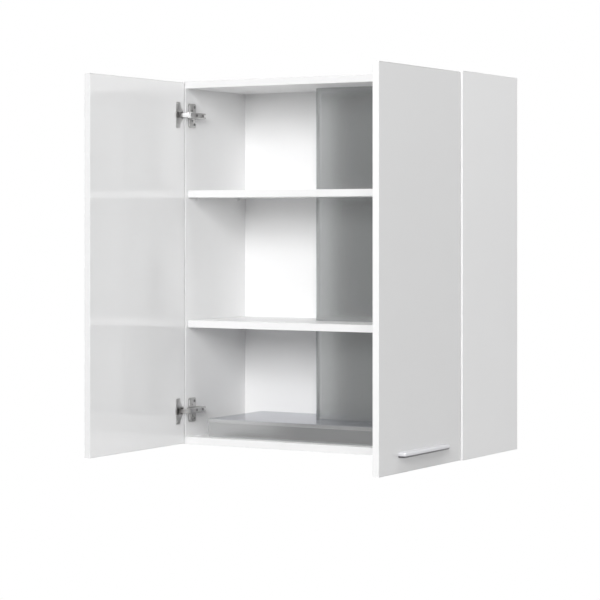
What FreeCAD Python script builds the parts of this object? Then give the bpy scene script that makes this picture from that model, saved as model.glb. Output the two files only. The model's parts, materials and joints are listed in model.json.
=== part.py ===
import FreeCAD, Part
import os
import re

# Wall cabinet with a built-in range hood, doors standing open at a right angle.
# Working axes: X to the right, Y back from the carcass front, Z up from the carcass underside.
# The written frame has its origin on the wall, at the centre of the hanging rail's rear face.

sizes = {
    # carcass boards, back panel and dowels
    "width": 800, "height": 916, "depth": 302, "board": 18,
    "back_thick": 3, "back_void": 17, "groove_depth": 6, "groove_play": 0.2,
    "dowel_radius": 4, "dowel_in_side": 12, "dowel_in_panel": 18, "dowel_end": 42,
    "drill_play": 0.05, "drill_spare": 1,
    # shelves and their pins
    "shelf_front": 10, "shelf_play": 1, "shelf_rear_play": 0.5, "lower_shelf_up": 294,
    "upper_shelf_up": 622.5, "notch_play": 2, "shelf_pin_radius": 2.5, "shelf_pin_in": 9,
    "shelf_pin_out": 9, "shelf_pin_end": 38,
    # hanging rail and keyhole plates
    "rail_thick": 16, "rail_height": 80, "hanger_in": 100, "hanger_side": 56, "hanger_thick": 2,
    "keyhole_radius": 7, "keyhole_slot": 6.6, "keyhole_rise": 17, "keyhole_down": 6, "keyhole_deep": 11,
    "keyhole_room": 4, "hanger_screw_radius": 2, "hanger_screw_head": 3.8, "hanger_screw_length": 10,
    "hanger_screw_edge": 8,
    # doors, standing open
    "door_thick": 16, "door_reveal": 1.5, "door_split": 3, "door_below": 1.5, "door_above": 3,
    "door_inset": 2, "door_gap": 6, "hinge_end": 83,
    # channel handle, open below for the fingers, and its studs
    "handle_length": 220, "handle_height": 12, "handle_reach": 19, "handle_lip": 3, "handle_top": 3,
    "handle_back": 2.5, "handle_end": 11, "handle_bend": 7, "handle_up": 41, "stud_radius": 2.5,
    "stud_in_door": 11, "stud_in_end": 9,
    # hinge cup
    "cup_radius": 17.5, "cup_deep": 11.5, "cup_edge": 3, "cup_play": 0.1, "cup_wall": 0.6, "cup_mouth": 16,
    "flange_thick": 1.2, "flange_tall": 65, "flange_bar": 11, "flange_taper": 16, "flange_tip": 24,
    "flange_far": 36, "cup_screw_spacing": 52, "cup_screw_in": 30.5, "cup_screw_radius": 1.8,
    "cup_screw_length": 9, "screw_head": 3.6, "screw_head_thick": 1.1,
    # hinge link, arm and mounting plate
    "nose_in": 16.8, "nose_front": 10, "nose_boss": 2, "arm_pin_radius": 1.2, "turn_play": 0.05,
    "link_height": 10, "link_thick": 3, "link_boss": 2.2, "link_slack": 0.8, "eye_edge": 9.6,
    "eye_deep": 5.76, "cheek_play": 0.3, "cheek_thick": 2, "trunnion_radius": 1, "trunnion_length": 20,
    "trunnion_room": 1.7, "trunnion_spare": 0.3,
    "plate_thick": 3, "plate_tall": 61, "plate_front": 12, "plate_long": 32,
    "hump_thick": 6, "hump_front": 8, "hump_long": 62, "arm_front": 2, "arm_long": 76, "arm_thick": 10,
    "plate_screw_spacing": 44, "plate_screw_back": 37, "plate_screw_radius": 2.2, "plate_screw_length": 12,
    "arm_screw_front": 24, "arm_screw_rear": 64, "arm_screw_radius": 2, "arm_screw_length": 14,
    # hood casing and lid
    "hood_width": 662, "hood_front": 26, "hood_height": 46, "hood_rear_play": 1, "hood_wall": 1.5,
    "lip_height": 9, "lid_thick": 1.2, "lid_play": 0.3, "cutout_width": 601, "cutout_front": 52,
    "cutout_long": 206, "collar_play": 1, "fascia_up": 2, "fascia_thick": 2, "hood_screw_radius": 2,
    "hood_screw_length": 14, "hood_screw_in": 14, "hood_screw_head": 4, "hood_screw_cap": 2,
    # grease filter
    "filter_width": 346, "filter_front": 98, "filter_long": 151.5, "filter_thick": 9, "filter_rim": 12,
    "filter_play": 2, "mesh_thick": 4, "pivot_radius": 2, "pivot_back": 5.5, "pivot_length": 7,
    "ear_out": 3, "ear_thick": 3, "ear_half": 6,
    "grip_width": 40, "grip_deep": 7, "grip_front": 2.5, "grip_thick": 1.6,
    # lamps, buttons and cable gland
    "lamp_radius": 32, "lamp_bezel": 35, "lamp_out": 238, "lamp_back": 175, "lamp_deep": 9,
    "bezel_thick": 1.2, "lamp_play": 0.2,
    "button_pitch": 24, "button_back": 75, "button_length": 15, "button_width": 9, "button_play": 0.35,
    "button_proud": 1.6, "button_stem": 9, "button_lip": 1.5, "button_lip_thick": 1.5,
    "gland_radius": 9, "gland_bore": 4, "gland_height": 14, "gland_out": 250, "gland_back": 240,
    # duct and fan
    "duct_width": 200, "duct_depth": 130, "duct_rear_play": 2, "duct_bend": 30, "duct_wall": 1.5,
    "fan_up": 40, "fan_plate": 2, "fan_play": 0.15, "ring_margin": 3.35, "ring_wall": 2, "ring_height": 40,
    "spoke_width": 8, "spoke_thick": 4, "seat_radius": 26, "motor_radius": 28, "motor_height": 58,
    "shaft_radius": 4, "shaft_room": 1, "impeller_play": 3, "hub_radius": 22, "hub_height": 24,
    "hub_gap": 3, "blade_thick": 2.4, "blade_chord": 30, "blade_pitch": 35, "blade_root": 2,
    # outlet collar and back-draught flaps
    "outlet_radius": 60, "outlet_wall": 1.5, "outlet_above": 10, "outlet_play": 0.3, "outlet_rim": 66,
    "outlet_rim_thick": 1.5, "ledge_width": 4, "ledge_thick": 1.5, "ledge_down": 14, "flap_thick": 1.2,
    "flap_play": 1, "flap_seat": 0.3, "flap_pin_radius": 1.5, "knuckle_radius": 3, "knuckle_end": 6,
    "knuckle_gap": 2, "strap_overlap": 0.5,
}
blade_count = 7
button_count = 4
spoke_count = 3

doc = FreeCAD.newDocument("range_hood_cabinet")
sheet = doc.addObject("Spreadsheet::Sheet", "dims")
for row, (alias, number) in enumerate(sizes.items(), start=1):
    sheet.set(f"A{row}", alias)
    sheet.set(f"B{row}", str(number))
    sheet.setAlias(f"B{row}", alias)
doc.recompute()

# Places that several pieces share, as expressions in the sheet's aliases.
inner = "(width / 2 - board)"
ceiling = "(height - board)"
back_face = "(depth - back_void - back_thick)"
rail_middle = "(height - board - rail_height / 2)"
door_width = "((width - 2 * door_reveal - door_split) / 2)"
door_face = "(width / 2 - door_inset - door_thick)"
door_top = "(height - door_above)"
cup_back = "(-door_gap - cup_edge - cup_radius)"
cup_outer = "(cup_radius - cup_play)"
arm_base = f"({inner} - plate_thick - hump_thick)"
arm_half = "(link_height / 2 + cheek_play + cheek_thick)"
hood_top = "(board + hood_height)"
hood_rear = f"({back_face} - hood_rear_play)"
case_half = "(hood_width / 2 - lid_thick - lid_play)"
case_front = "(hood_front + lid_thick + lid_play)"
fascia_top = "(fascia_up + fascia_thick)"
filter_rear = "(filter_front + filter_long)"
pivot_back_y = f"({filter_rear} - pivot_back)"
pivot_up = "(fascia_up + filter_thick / 2)"
duct_rear = f"({back_face} - duct_rear_play)"
duct_front = f"({duct_rear} - duct_depth)"
duct_middle = f"({duct_rear} - duct_depth / 2)"
ring_radius = "(duct_depth / 2 - duct_wall - fan_play - ring_margin - ring_wall)"
fan_base = f"({hood_top} + fan_up)"
seat_base = f"({fan_base} + ring_height - spoke_thick)"
ledge_top = "(height + outlet_above - ledge_down + ledge_thick)"
outlet_bore = "(outlet_radius - outlet_wall)"
flap_pin_up = f"({ledge_top} + flap_seat + flap_thick / 2)"
pieces = []


def cells(text):
    # the expression with every alias written as a cell of the sheet
    return re.sub(
        r"[a-z_]+", lambda word: "dims." + word.group() if word.group() in sizes else word.group(), text,
    )


def bind(thing, bindings):
    for path, text in bindings.items():
        thing.setExpression(path, cells(text))


def place(thing, x, y, z, local=False):
    # local pieces are drawn about their own origin, the rest in the cabinet's working axes
    shift_y, shift_z = ("0", "0") if local else ("depth", rail_middle)
    bind(thing, {
        "Placement.Base.x": x,
        "Placement.Base.y": f"({y}) - {shift_y}",
        "Placement.Base.z": f"({z}) - {shift_z}",
    })


def box(name, x, y, z, local=False):
    # x, y and z are (from, to) pairs
    block = doc.addObject("Part::Box", name)
    for path, (low, high) in zip(("Length", "Width", "Height"), (x, y, z)):
        bind(block, {path: f"({high}) - ({low})"})
    place(block, x[0], y[0], z[0], local)
    return block


def rod(name, radius, x, y, z, local=False):
    # a cylinder along the one axis that is given as a (from, to) pair
    turns = (((0, 1, 0), 90), ((1, 0, 0), -90), ((0, 0, 1), 0))
    along = next(axis for axis, span in enumerate((x, y, z)) if isinstance(span, tuple))
    low, high = (x, y, z)[along]
    bar = doc.addObject("Part::Cylinder", name)
    bind(bar, {"Radius": radius, "Height": f"({high}) - ({low})"})
    turn_axis, angle = turns[along]
    bar.Placement.Rotation = FreeCAD.Rotation(FreeCAD.Vector(*turn_axis), angle)
    starts = [low if axis == along else span for axis, span in enumerate((x, y, z))]
    place(bar, *starts, local)
    return bar


def rounded(name, block, bend):
    # a box whose four upright edges are bent to a radius
    uprights = (1, 3, 5, 7)
    soft = doc.addObject("Part::Fillet", name)
    soft.Base = block
    soft.Edges = [(edge, bend, bend) for edge in uprights]
    return soft


def join(name, *things):
    if len(things) == 1:
        return things[0]
    whole = doc.addObject("Part::MultiFuse", name)
    whole.Shapes = list(things)
    return whole


def cut(name, base, *tools):
    rest = doc.addObject("Part::Cut", name)
    rest.Base = base
    rest.Tool = join(name + "_tools", *tools)
    return rest


def group(name, things):
    several = doc.addObject("Part::Compound", name)
    several.Links = list(things)
    return several


def mirror(name, source):
    other = doc.addObject("Part::Mirroring", name)
    other.Source = source
    other.Normal = FreeCAD.Vector(1, 0, 0)
    return other


def keep(thing, label):
    thing.Label = label
    pieces.append(thing)
    return thing


def keep_pair(right, name):
    # the right-hand piece and its mirror image
    keep(right, f"right_{name}")
    keep(mirror(f"left_{name}", right), f"left_{name}")


def both_ways(low):
    return (f"-({low})", low)


def duct_prism(name, offsets, low, high):
    # the duct's outline moved outwards by the sum of the offsets, between two heights
    offset = f"(0 + {' + '.join(offsets)})" if offsets else "0"
    moved = sum(-sizes[term[1:]] if term.startswith("-") else sizes[term] for term in offsets)
    block = box(
        name + "_block", both_ways(f"duct_width / 2 + {offset}"),
        (f"{duct_front} - {offset}", f"{duct_rear} + {offset}"), (low, high),
    )
    return rounded(name, block, sizes["duct_bend"] + moved)


hinge_heights = {"lower": "(door_below + hinge_end)", "upper": f"({door_top} - hinge_end)"}
shelf_heights = {"lower": "lower_shelf_up", "upper": "upper_shelf_up"}
dowel_backs = ("dowel_end", f"{back_face} / 2", f"{back_face} - dowel_end")
panel_middles = {"bottom": "board / 2", "top": "height - board / 2"}


def side_panel():
    blank = box("side_blank", (inner, "width / 2"), ("0", "depth"), ("0", "height"))
    tools = [box(
        "side_groove", (inner, f"{inner} + groove_depth"),
        (f"{back_face} - groove_play", f"{back_face} + back_thick + groove_play"),
        ("board - groove_depth", f"{ceiling} + groove_depth"),
    )]
    for level, middle in panel_middles.items():
        for spot, back in enumerate(dowel_backs):
            tools.append(rod(
                f"side_dowel_hole_{level}_{spot}", "dowel_radius + drill_play",
                (inner, f"{inner} + dowel_in_side + drill_spare"), back, middle,
            ))
    for level, up in shelf_heights.items():
        for spot, back in enumerate(shelf_pin_backs):
            tools.append(rod(
                f"side_pin_hole_{level}_{spot}", "shelf_pin_radius + drill_play",
                (inner, f"{inner} + shelf_pin_in + drill_spare"), back, f"{up} - shelf_pin_radius",
            ))
    for level, up in hinge_heights.items():
        for spot, rise in enumerate(("-plate_screw_spacing / 2", "plate_screw_spacing / 2")):
            tools.append(rod(
                f"side_screw_hole_{level}_{spot}", "plate_screw_radius + drill_play",
                (inner, f"{inner} + plate_screw_length + drill_spare"), "plate_screw_back",
                f"{up} + {rise}",
            ))
    keep_pair(cut("right_side", blank, *tools), "side")


def panel_holes(name, middle):
    # dowel holes in both ends of a horizontal panel
    holes = []
    for spot, back in enumerate(dowel_backs):
        reach = f"{inner} - dowel_in_panel - drill_spare"
        holes.append(
            rod(f"{name}_hole_right_{spot}", "dowel_radius + drill_play", (reach, inner), back, middle),
        )
        holes.append(rod(
            f"{name}_hole_left_{spot}", "dowel_radius + drill_play", (f"-{inner}", f"-({reach})"), back,
            middle,
        ))
    return holes


def panel_groove(name, z):
    return box(
        f"{name}_groove", both_ways(inner),
        (f"{back_face} - groove_play", f"{back_face} + back_thick + groove_play"), z,
    )


def top_panel():
    blank = box("top_blank", both_ways(inner), ("0", "depth"), (ceiling, "height"))
    outlet = rod("top_outlet_hole", "outlet_radius + outlet_play", "0", duct_middle, (ceiling, "height"))
    groove = panel_groove("top", (ceiling, f"{ceiling} + groove_depth"))
    keep(cut("top_panel", blank, outlet, groove, *panel_holes("top", panel_middles["top"])), "top_panel")


def bottom_panel():
    blank = box("bottom_blank", both_ways(inner), ("0", "depth"), ("0", "board"))
    opening = box(
        "bottom_cutout", both_ways("cutout_width / 2"), ("cutout_front", "cutout_front + cutout_long"),
        ("0", "board"),
    )
    groove = panel_groove("bottom", ("board - groove_depth", "board"))
    screws = [
        rod(f"bottom_screw_hole_{spot}", "hood_screw_radius + drill_play", x, y,
            ("board + hood_wall - hood_screw_length - drill_spare", "board"))
        for spot, (x, y) in enumerate(hood_screw_places)
    ]
    holes = panel_holes("bottom", panel_middles["bottom"])
    keep(cut("bottom_panel", blank, opening, groove, *screws, *holes), "bottom_panel")


def back_panel():
    reach = f"{inner} + groove_depth - groove_play"
    keep(box(
        "back_panel", both_ways(reach), (back_face, f"{back_face} + back_thick"),
        ("board - groove_depth + groove_play", f"{ceiling} + groove_depth - groove_play"),
    ), "back_panel")


def dowels():
    rods = []
    for level, middle in panel_middles.items():
        for spot, back in enumerate(dowel_backs):
            ends = (f"{inner} - dowel_in_panel", f"{inner} + dowel_in_side")
            rods.append(rod(f"dowel_right_{level}_{spot}", "dowel_radius", ends, back, middle))
            rods.append(rod(
                f"dowel_left_{level}_{spot}", "dowel_radius", (f"-({ends[1]})", f"-({ends[0]})"), back,
                middle,
            ))
    keep(group("dowels", rods), "dowels")


shelf_pin_backs = ("shelf_front + shelf_pin_end", f"{back_face} - shelf_pin_end")


def shelves():
    pins = []
    for level, up in shelf_heights.items():
        blank = box(
            f"{level}_shelf_blank", both_ways(f"{inner} - shelf_play"),
            ("shelf_front", f"{back_face} - shelf_rear_play"), (up, f"{up} + board"),
        )
        notch = duct_prism(f"{level}_notch", ["notch_play"], up, f"{up} + board")
        notch_rear = box(
            f"{level}_notch_rear", both_ways("duct_width / 2 + notch_play"), (duct_middle, back_face),
            (up, f"{up} + board"),
        )
        keep(cut(f"{level}_shelf", blank, notch, notch_rear), f"{level}_shelf")
        for spot, back in enumerate(shelf_pin_backs):
            ends = (f"{inner} - shelf_pin_out", f"{inner} + shelf_pin_in")
            axis_up = f"{up} - shelf_pin_radius"
            pins.append(rod(f"pin_right_{level}_{spot}", "shelf_pin_radius", ends, back, axis_up))
            pins.append(rod(
                f"pin_left_{level}_{spot}", "shelf_pin_radius", (f"-({ends[1]})", f"-({ends[0]})"), back,
                axis_up,
            ))
    keep(group("shelf_pins", pins), "shelf_pins")


hanger_x = "(width / 2 - hanger_in)"
hanger_screw_at = "(hanger_side / 2 - hanger_screw_edge)"
hanger_corners = [(across, up) for across in (-1, 1) for up in (-1, 1)]
keyhole_up = f"({rail_middle} - keyhole_down)"
plate_seat = "(depth - hanger_thick)"


def hanging_rail():
    blank = box(
        "rail_blank", both_ways(inner), ("depth - rail_thick", "depth"),
        (f"{ceiling} - rail_height", ceiling),
    )
    tools = []
    for sign in (-1, 1):
        middle = f"{sign} * {hanger_x}"
        half = "hanger_side / 2 + groove_play"
        room = "keyhole_radius + keyhole_room"
        tools.append(box(
            f"rail_pocket_{sign + 1}", (f"{middle} - ({half})", f"{middle} + {half}"),
            (plate_seat, "depth"),
            (f"{rail_middle} - ({half})", f"{rail_middle} + {half}"),
        ))
        tools.append(box(
            f"rail_room_{sign + 1}", (f"{middle} - ({room})", f"{middle} + {room}"),
            (f"{plate_seat} - keyhole_deep", plate_seat),
            (f"{keyhole_up} - ({room})", f"{keyhole_up} + keyhole_rise + {room}"),
        ))
        for spot, (across, up) in enumerate(hanger_corners):
            tools.append(rod(
                f"rail_screw_hole_{sign + 1}_{spot}", "hanger_screw_radius + drill_play",
                f"{middle} + {across} * {hanger_screw_at}",
                (f"{plate_seat} - hanger_screw_length - drill_spare", plate_seat),
                f"{rail_middle} + {up} * {hanger_screw_at}",
            ))
    keep(cut("hanging_rail", blank, *tools), "hanging_rail")


def hangers():
    half = "hanger_side / 2"
    blank = box(
        "hanger_blank", (f"{hanger_x} - {half}", f"{hanger_x} + {half}"), (plate_seat, "depth"),
        (f"{rail_middle} - {half}", f"{rail_middle} + {half}"),
    )
    span = (plate_seat, "depth")
    tools = [
        rod("keyhole_entry", "keyhole_radius", hanger_x, span, keyhole_up),
        rod("keyhole_end", "keyhole_slot / 2", hanger_x, span, f"{keyhole_up} + keyhole_rise"),
        box("keyhole_slit", (f"{hanger_x} - keyhole_slot / 2", f"{hanger_x} + keyhole_slot / 2"), span,
            (keyhole_up, f"{keyhole_up} + keyhole_rise")),
    ]
    screws = []
    for spot, (across, up) in enumerate(hanger_corners):
        z = f"{rail_middle} + {up} * {hanger_screw_at}"
        tools.append(rod(
            f"hanger_hole_{spot}", "hanger_screw_head + drill_play",
            f"{hanger_x} + {across} * {hanger_screw_at}", span, z,
        ))
        for sign in (-1, 1):
            x = f"{sign} * ({hanger_x} + {across} * {hanger_screw_at})"
            name = f"hanger_screw_{sign + 1}_{spot}"
            head = rod(f"{name}_head", "hanger_screw_head", x, span, z)
            shank = rod(
                f"{name}_shank", "hanger_screw_radius", x, (f"{plate_seat} - hanger_screw_length", "depth"),
                z,
            )
            screws.append(join(name, head, shank))
    keep_pair(cut("right_hanger", blank, *tools), "hanger")
    keep(group("hanger_screws", screws), "hanger_screws")


handle_middle = f"(-door_gap - {door_width} / 2)"
handle_low = "(door_below + handle_up - handle_height / 2)"
stud_backs = [f"{handle_middle} + {sign} * (handle_length / 2 - handle_end / 2)" for sign in (-1, 1)]
cup_screw_back = "(-door_gap - cup_screw_in)"
cup_screw_rises = ("-cup_screw_spacing / 2", "cup_screw_spacing / 2")
outer_face = "(width / 2 - door_inset)"
stud_up = f"{handle_low} + handle_height / 2"


def doors():
    blank = box(
        "door_blank", (door_face, outer_face), (f"-door_gap - {door_width}", "-door_gap"),
        ("door_below", door_top),
    )
    tools = []
    for level, up in hinge_heights.items():
        tools.append(
            rod(f"door_bore_{level}", "cup_radius", (door_face, f"{door_face} + cup_deep"), cup_back, up),
        )
        for spot, rise in enumerate(cup_screw_rises):
            tools.append(rod(
                f"door_screw_hole_{level}_{spot}", "cup_screw_radius + drill_play",
                (door_face, f"{door_face} + cup_screw_length + drill_spare"), cup_screw_back,
                f"{up} + {rise}",
            ))
    for spot, back in enumerate(stud_backs):
        tools.append(rod(
            f"door_stud_hole_{spot}", "stud_radius + drill_play",
            (f"{outer_face} - stud_in_door - drill_spare", outer_face),
            back, stud_up,
        ))
    keep_pair(cut("right_door", blank, *tools), "door")


def handles():
    half = "handle_length / 2"
    block = box(
        "handle_block", (f"{outer_face} - handle_bend", f"{outer_face} + handle_reach"),
        (f"{handle_middle} - {half}", f"{handle_middle} + {half}"),
        (handle_low, f"{handle_low} + handle_height"),
    )
    soft = rounded("handle_soft", block, sizes["handle_bend"])
    behind = box(
        "handle_behind", (f"{outer_face} - handle_bend", outer_face),
        (f"{handle_middle} - {half}", f"{handle_middle} + {half}"),
        (handle_low, f"{handle_low} + handle_height"),
    )
    inside = "handle_length / 2 - handle_end"
    finger_room = box(
        "handle_room", (f"{outer_face} + handle_back", f"{outer_face} + handle_reach - handle_lip"),
        (f"{handle_middle} - ({inside})", f"{handle_middle} + {inside}"),
        (handle_low, f"{handle_low} + handle_height - handle_top"),
    )
    holes = []
    studs = []
    for spot, back in enumerate(stud_backs):
        holes.append(rod(
            f"handle_hole_{spot}", "stud_radius + drill_play",
            (outer_face, f"{outer_face} + stud_in_end + drill_spare"),
            back, stud_up,
        ))
        studs.append(rod(
            f"stud_{spot}", "stud_radius", (f"{outer_face} - stud_in_door", f"{outer_face} + stud_in_end"),
            back, stud_up,
        ))
    keep_pair(cut("right_handle", soft, behind, finger_room, *holes), "handle")
    keep_pair(group("right_handle_studs", studs), "handle_studs")


nose_x = f"({inner} - nose_in)"
nose_y = "(-nose_front)"
eye_x = f"({door_face} + eye_deep)"
eye_y = "(-door_gap - eye_edge)"


def hinge_cup(level, up):
    name = f"{level}_cup"
    flange_back = "(-door_gap - flange_far)"
    bar = box(
        f"{name}_bar", (f"{door_face} - flange_thick", door_face),
        (flange_back, f"{flange_back} + flange_bar"),
        (f"{up} - flange_tall / 2", f"{up} + flange_tall / 2"),
    )
    taper = doc.addObject("Part::Wedge", f"{name}_taper")
    bind(taper, {
        "Xmin": "0", "Xmax": "flange_thick", "X2min": "0", "X2max": "flange_thick", "Ymin": "0",
        "Ymax": "flange_taper",
        "Zmin": "-flange_tall / 2", "Zmax": "flange_tall / 2", "Z2min": "-flange_tip / 2",
        "Z2max": "flange_tip / 2",
    })
    place(taper, f"{door_face} - flange_thick", f"{flange_back} + flange_bar", up)
    shell = rod(f"{name}_shell", cup_outer, (door_face, f"{door_face} + cup_deep - cup_play"), cup_back, up)
    mouth = doc.addObject("Part::Common", f"{name}_mouth")
    mouth.Base = rod(
        f"{name}_mouth_round", f"{cup_outer} - cup_wall",
        (f"{door_face} - flange_thick", f"{door_face} + cup_deep - cup_play - cup_wall"), cup_back, up,
    )
    mouth.Tool = box(
        f"{name}_mouth_slot", (f"{door_face} - flange_thick", f"{door_face} + cup_deep"),
        (f"{cup_back} - cup_radius", f"{cup_back} + cup_radius"),
        (f"{up} - cup_mouth / 2", f"{up} + cup_mouth / 2"),
    )
    half_eye = "trunnion_length / 2 + trunnion_spare"
    eye = rod(
        f"{name}_eye", "trunnion_radius + trunnion_room", eye_x, eye_y,
        (f"{up} - ({half_eye})", f"{up} + {half_eye}"),
    )
    holes = [
        rod(f"{name}_hole_{spot}", "cup_screw_radius + drill_play",
            (f"{door_face} - flange_thick", door_face), cup_screw_back, f"{up} + {rise}")
        for spot, rise in enumerate(cup_screw_rises)
    ]
    keep_pair(cut(f"right_{name}", join(f"{name}_body", bar, taper, shell), mouth, eye, *holes), name)


def cup_screws():
    screws = []
    for level, up in hinge_heights.items():
        for spot, rise in enumerate(cup_screw_rises):
            name = f"cup_screw_{level}_{spot}"
            top = f"{door_face} - flange_thick"
            z = f"{up} + {rise}"
            head = rod(f"{name}_head", "screw_head", (f"{top} - screw_head_thick", top), cup_screw_back, z)
            shank = rod(
                f"{name}_shank", "cup_screw_radius",
                (f"{top} - screw_head_thick", f"{door_face} + cup_screw_length"),
                cup_screw_back, z,
            )
            screws.append(join(name, head, shank))
    keep_pair(group("right_cup_screws", screws), "cup_screws")


def hinge_plate(level, up):
    name = f"{level}_plate"
    wings = box(
        f"{name}_wings", (f"{inner} - plate_thick", inner), ("plate_front", "plate_front + plate_long"),
        (f"{up} - plate_tall / 2", f"{up} + plate_tall / 2"),
    )
    hump = box(
        f"{name}_hump", (arm_base, inner), ("hump_front", "hump_front + hump_long"),
        (f"{up} - {arm_half}", f"{up} + {arm_half}"),
    )
    holes = [
        rod(f"{name}_hole_{spot}", "plate_screw_radius + drill_play", (f"{inner} - plate_thick", inner),
            "plate_screw_back", f"{up} + {rise}")
        for spot, rise in enumerate(("-plate_screw_spacing / 2", "plate_screw_spacing / 2"))
    ]
    for spot in ("front", "rear"):
        holes.append(rod(
            f"{name}_arm_hole_{spot}", "arm_screw_radius + drill_play",
            (f"{arm_base} - arm_thick", f"{arm_base} - arm_thick + arm_screw_length + drill_spare"),
            f"arm_screw_{spot}", up,
        ))
    keep_pair(cut(f"right_{name}", join(f"{name}_body", wings, hump), *holes), name)


def hinge_arm(level, up):
    name = f"{level}_arm"
    body = [box(
        f"{name}_bar", (f"{arm_base} - arm_thick", arm_base), ("arm_front", "arm_front + arm_long"),
        (f"{up} - {arm_half}", f"{up} + {arm_half}"),
    )]
    gap = "(link_height / 2 + cheek_play)"
    below = (f"{up} - {arm_half}", f"{up} - {gap}")
    above = (f"{up} + {gap}", f"{up} + {arm_half}")
    for spot, span in enumerate((below, above)):
        body.append(box(
            f"{name}_cheek_{spot}", (f"{nose_x} - nose_boss", f"{nose_x} + nose_boss"),
            (nose_y, "arm_front"), span,
        ))
        body.append(rod(f"{name}_boss_{spot}", "nose_boss", nose_x, nose_y, span))
    pin_hole = rod(
        f"{name}_pin_hole", "arm_pin_radius + drill_play", nose_x, nose_y,
        (f"{up} - {arm_half}", f"{up} + {arm_half}"),
    )
    screw_holes = [
        rod(f"{name}_screw_hole_{spot}", "arm_screw_radius + drill_play",
            (f"{arm_base} - arm_thick", arm_base), f"arm_screw_{spot}", up)
        for spot in ("front", "rear")
    ]
    keep_pair(cut(f"right_{name}", join(f"{name}_body", *body), pin_hole, *screw_holes), name)


def hinge_link(level, up):
    # drawn along its own X from the arm pin, then turned towards the eye in the cup
    name = f"{level}_link"
    run = f"({eye_x} - {nose_x})"
    drop = f"({eye_y} - {nose_y})"
    reach = f"(sqrt({run} ^ 2 + {drop} ^ 2) - link_slack)"
    tall = both_ways("link_height / 2")
    bar = box(f"{name}_bar", ("0", reach), both_ways("link_thick / 2"), tall, local=True)
    boss = rod(f"{name}_boss", "link_boss", "0", "0", tall, local=True)
    tip = rod(f"{name}_tip", "link_thick / 2", reach, "0", tall, local=True)
    trunnion = rod(
        f"{name}_trunnion", "trunnion_radius", reach, "0", both_ways("trunnion_length / 2"), local=True,
    )
    pin_hole = rod(f"{name}_pin_hole", "arm_pin_radius + turn_play", "0", "0", tall, local=True)
    link = cut(f"right_{name}", join(f"{name}_body", bar, boss, tip, trunnion), pin_hole)
    place(link, nose_x, nose_y, up)
    bind(link, {"Placement.Rotation.Angle": f"atan2({drop}; {run})"})
    keep_pair(link, name)


def hinge_fasteners():
    pins = []
    plate_screws = []
    arm_screws = []
    for level, up in hinge_heights.items():
        pins.append(rod(
            f"arm_pin_{level}", "arm_pin_radius", nose_x, nose_y,
            (f"{up} - {arm_half}", f"{up} + {arm_half}"),
        ))
        for spot, rise in enumerate(("-plate_screw_spacing / 2", "plate_screw_spacing / 2")):
            name = f"plate_screw_{level}_{spot}"
            top = f"{inner} - plate_thick"
            z = f"{up} + {rise}"
            head = rod(
                f"{name}_head", "screw_head", (f"{top} - screw_head_thick", top), "plate_screw_back", z,
            )
            shank = rod(
                f"{name}_shank", "plate_screw_radius",
                (f"{top} - screw_head_thick", f"{inner} + plate_screw_length"),
                "plate_screw_back", z,
            )
            plate_screws.append(join(name, head, shank))
        for spot in ("front", "rear"):
            name = f"arm_screw_{level}_{spot}"
            top = f"{arm_base} - arm_thick"
            head = rod(
                f"{name}_head", "screw_head", (f"{top} - screw_head_thick", top), f"arm_screw_{spot}", up,
            )
            shank = rod(
                f"{name}_shank", "arm_screw_radius",
                (f"{top} - screw_head_thick", f"{top} + arm_screw_length"),
                f"arm_screw_{spot}", up,
            )
            arm_screws.append(join(name, head, shank))
    for label, fasteners in (("arm_pins", pins), ("plate_screws", plate_screws), ("arm_screws", arm_screws)):
        right = group(f"{label}_right", fasteners)
        keep(group(label, [right, mirror(f"{label}_left", right)]), label)


hood_screw_places = [
    (f"{sign} * ({case_half} - hood_screw_in)", y)
    for sign in (-1, 1) for y in (f"{case_front} + hood_screw_in", f"{hood_rear} - hood_screw_in")
]
button_places = [f"({spot} - {(button_count - 1) / 2}) * button_pitch" for spot in range(button_count)]


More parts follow.
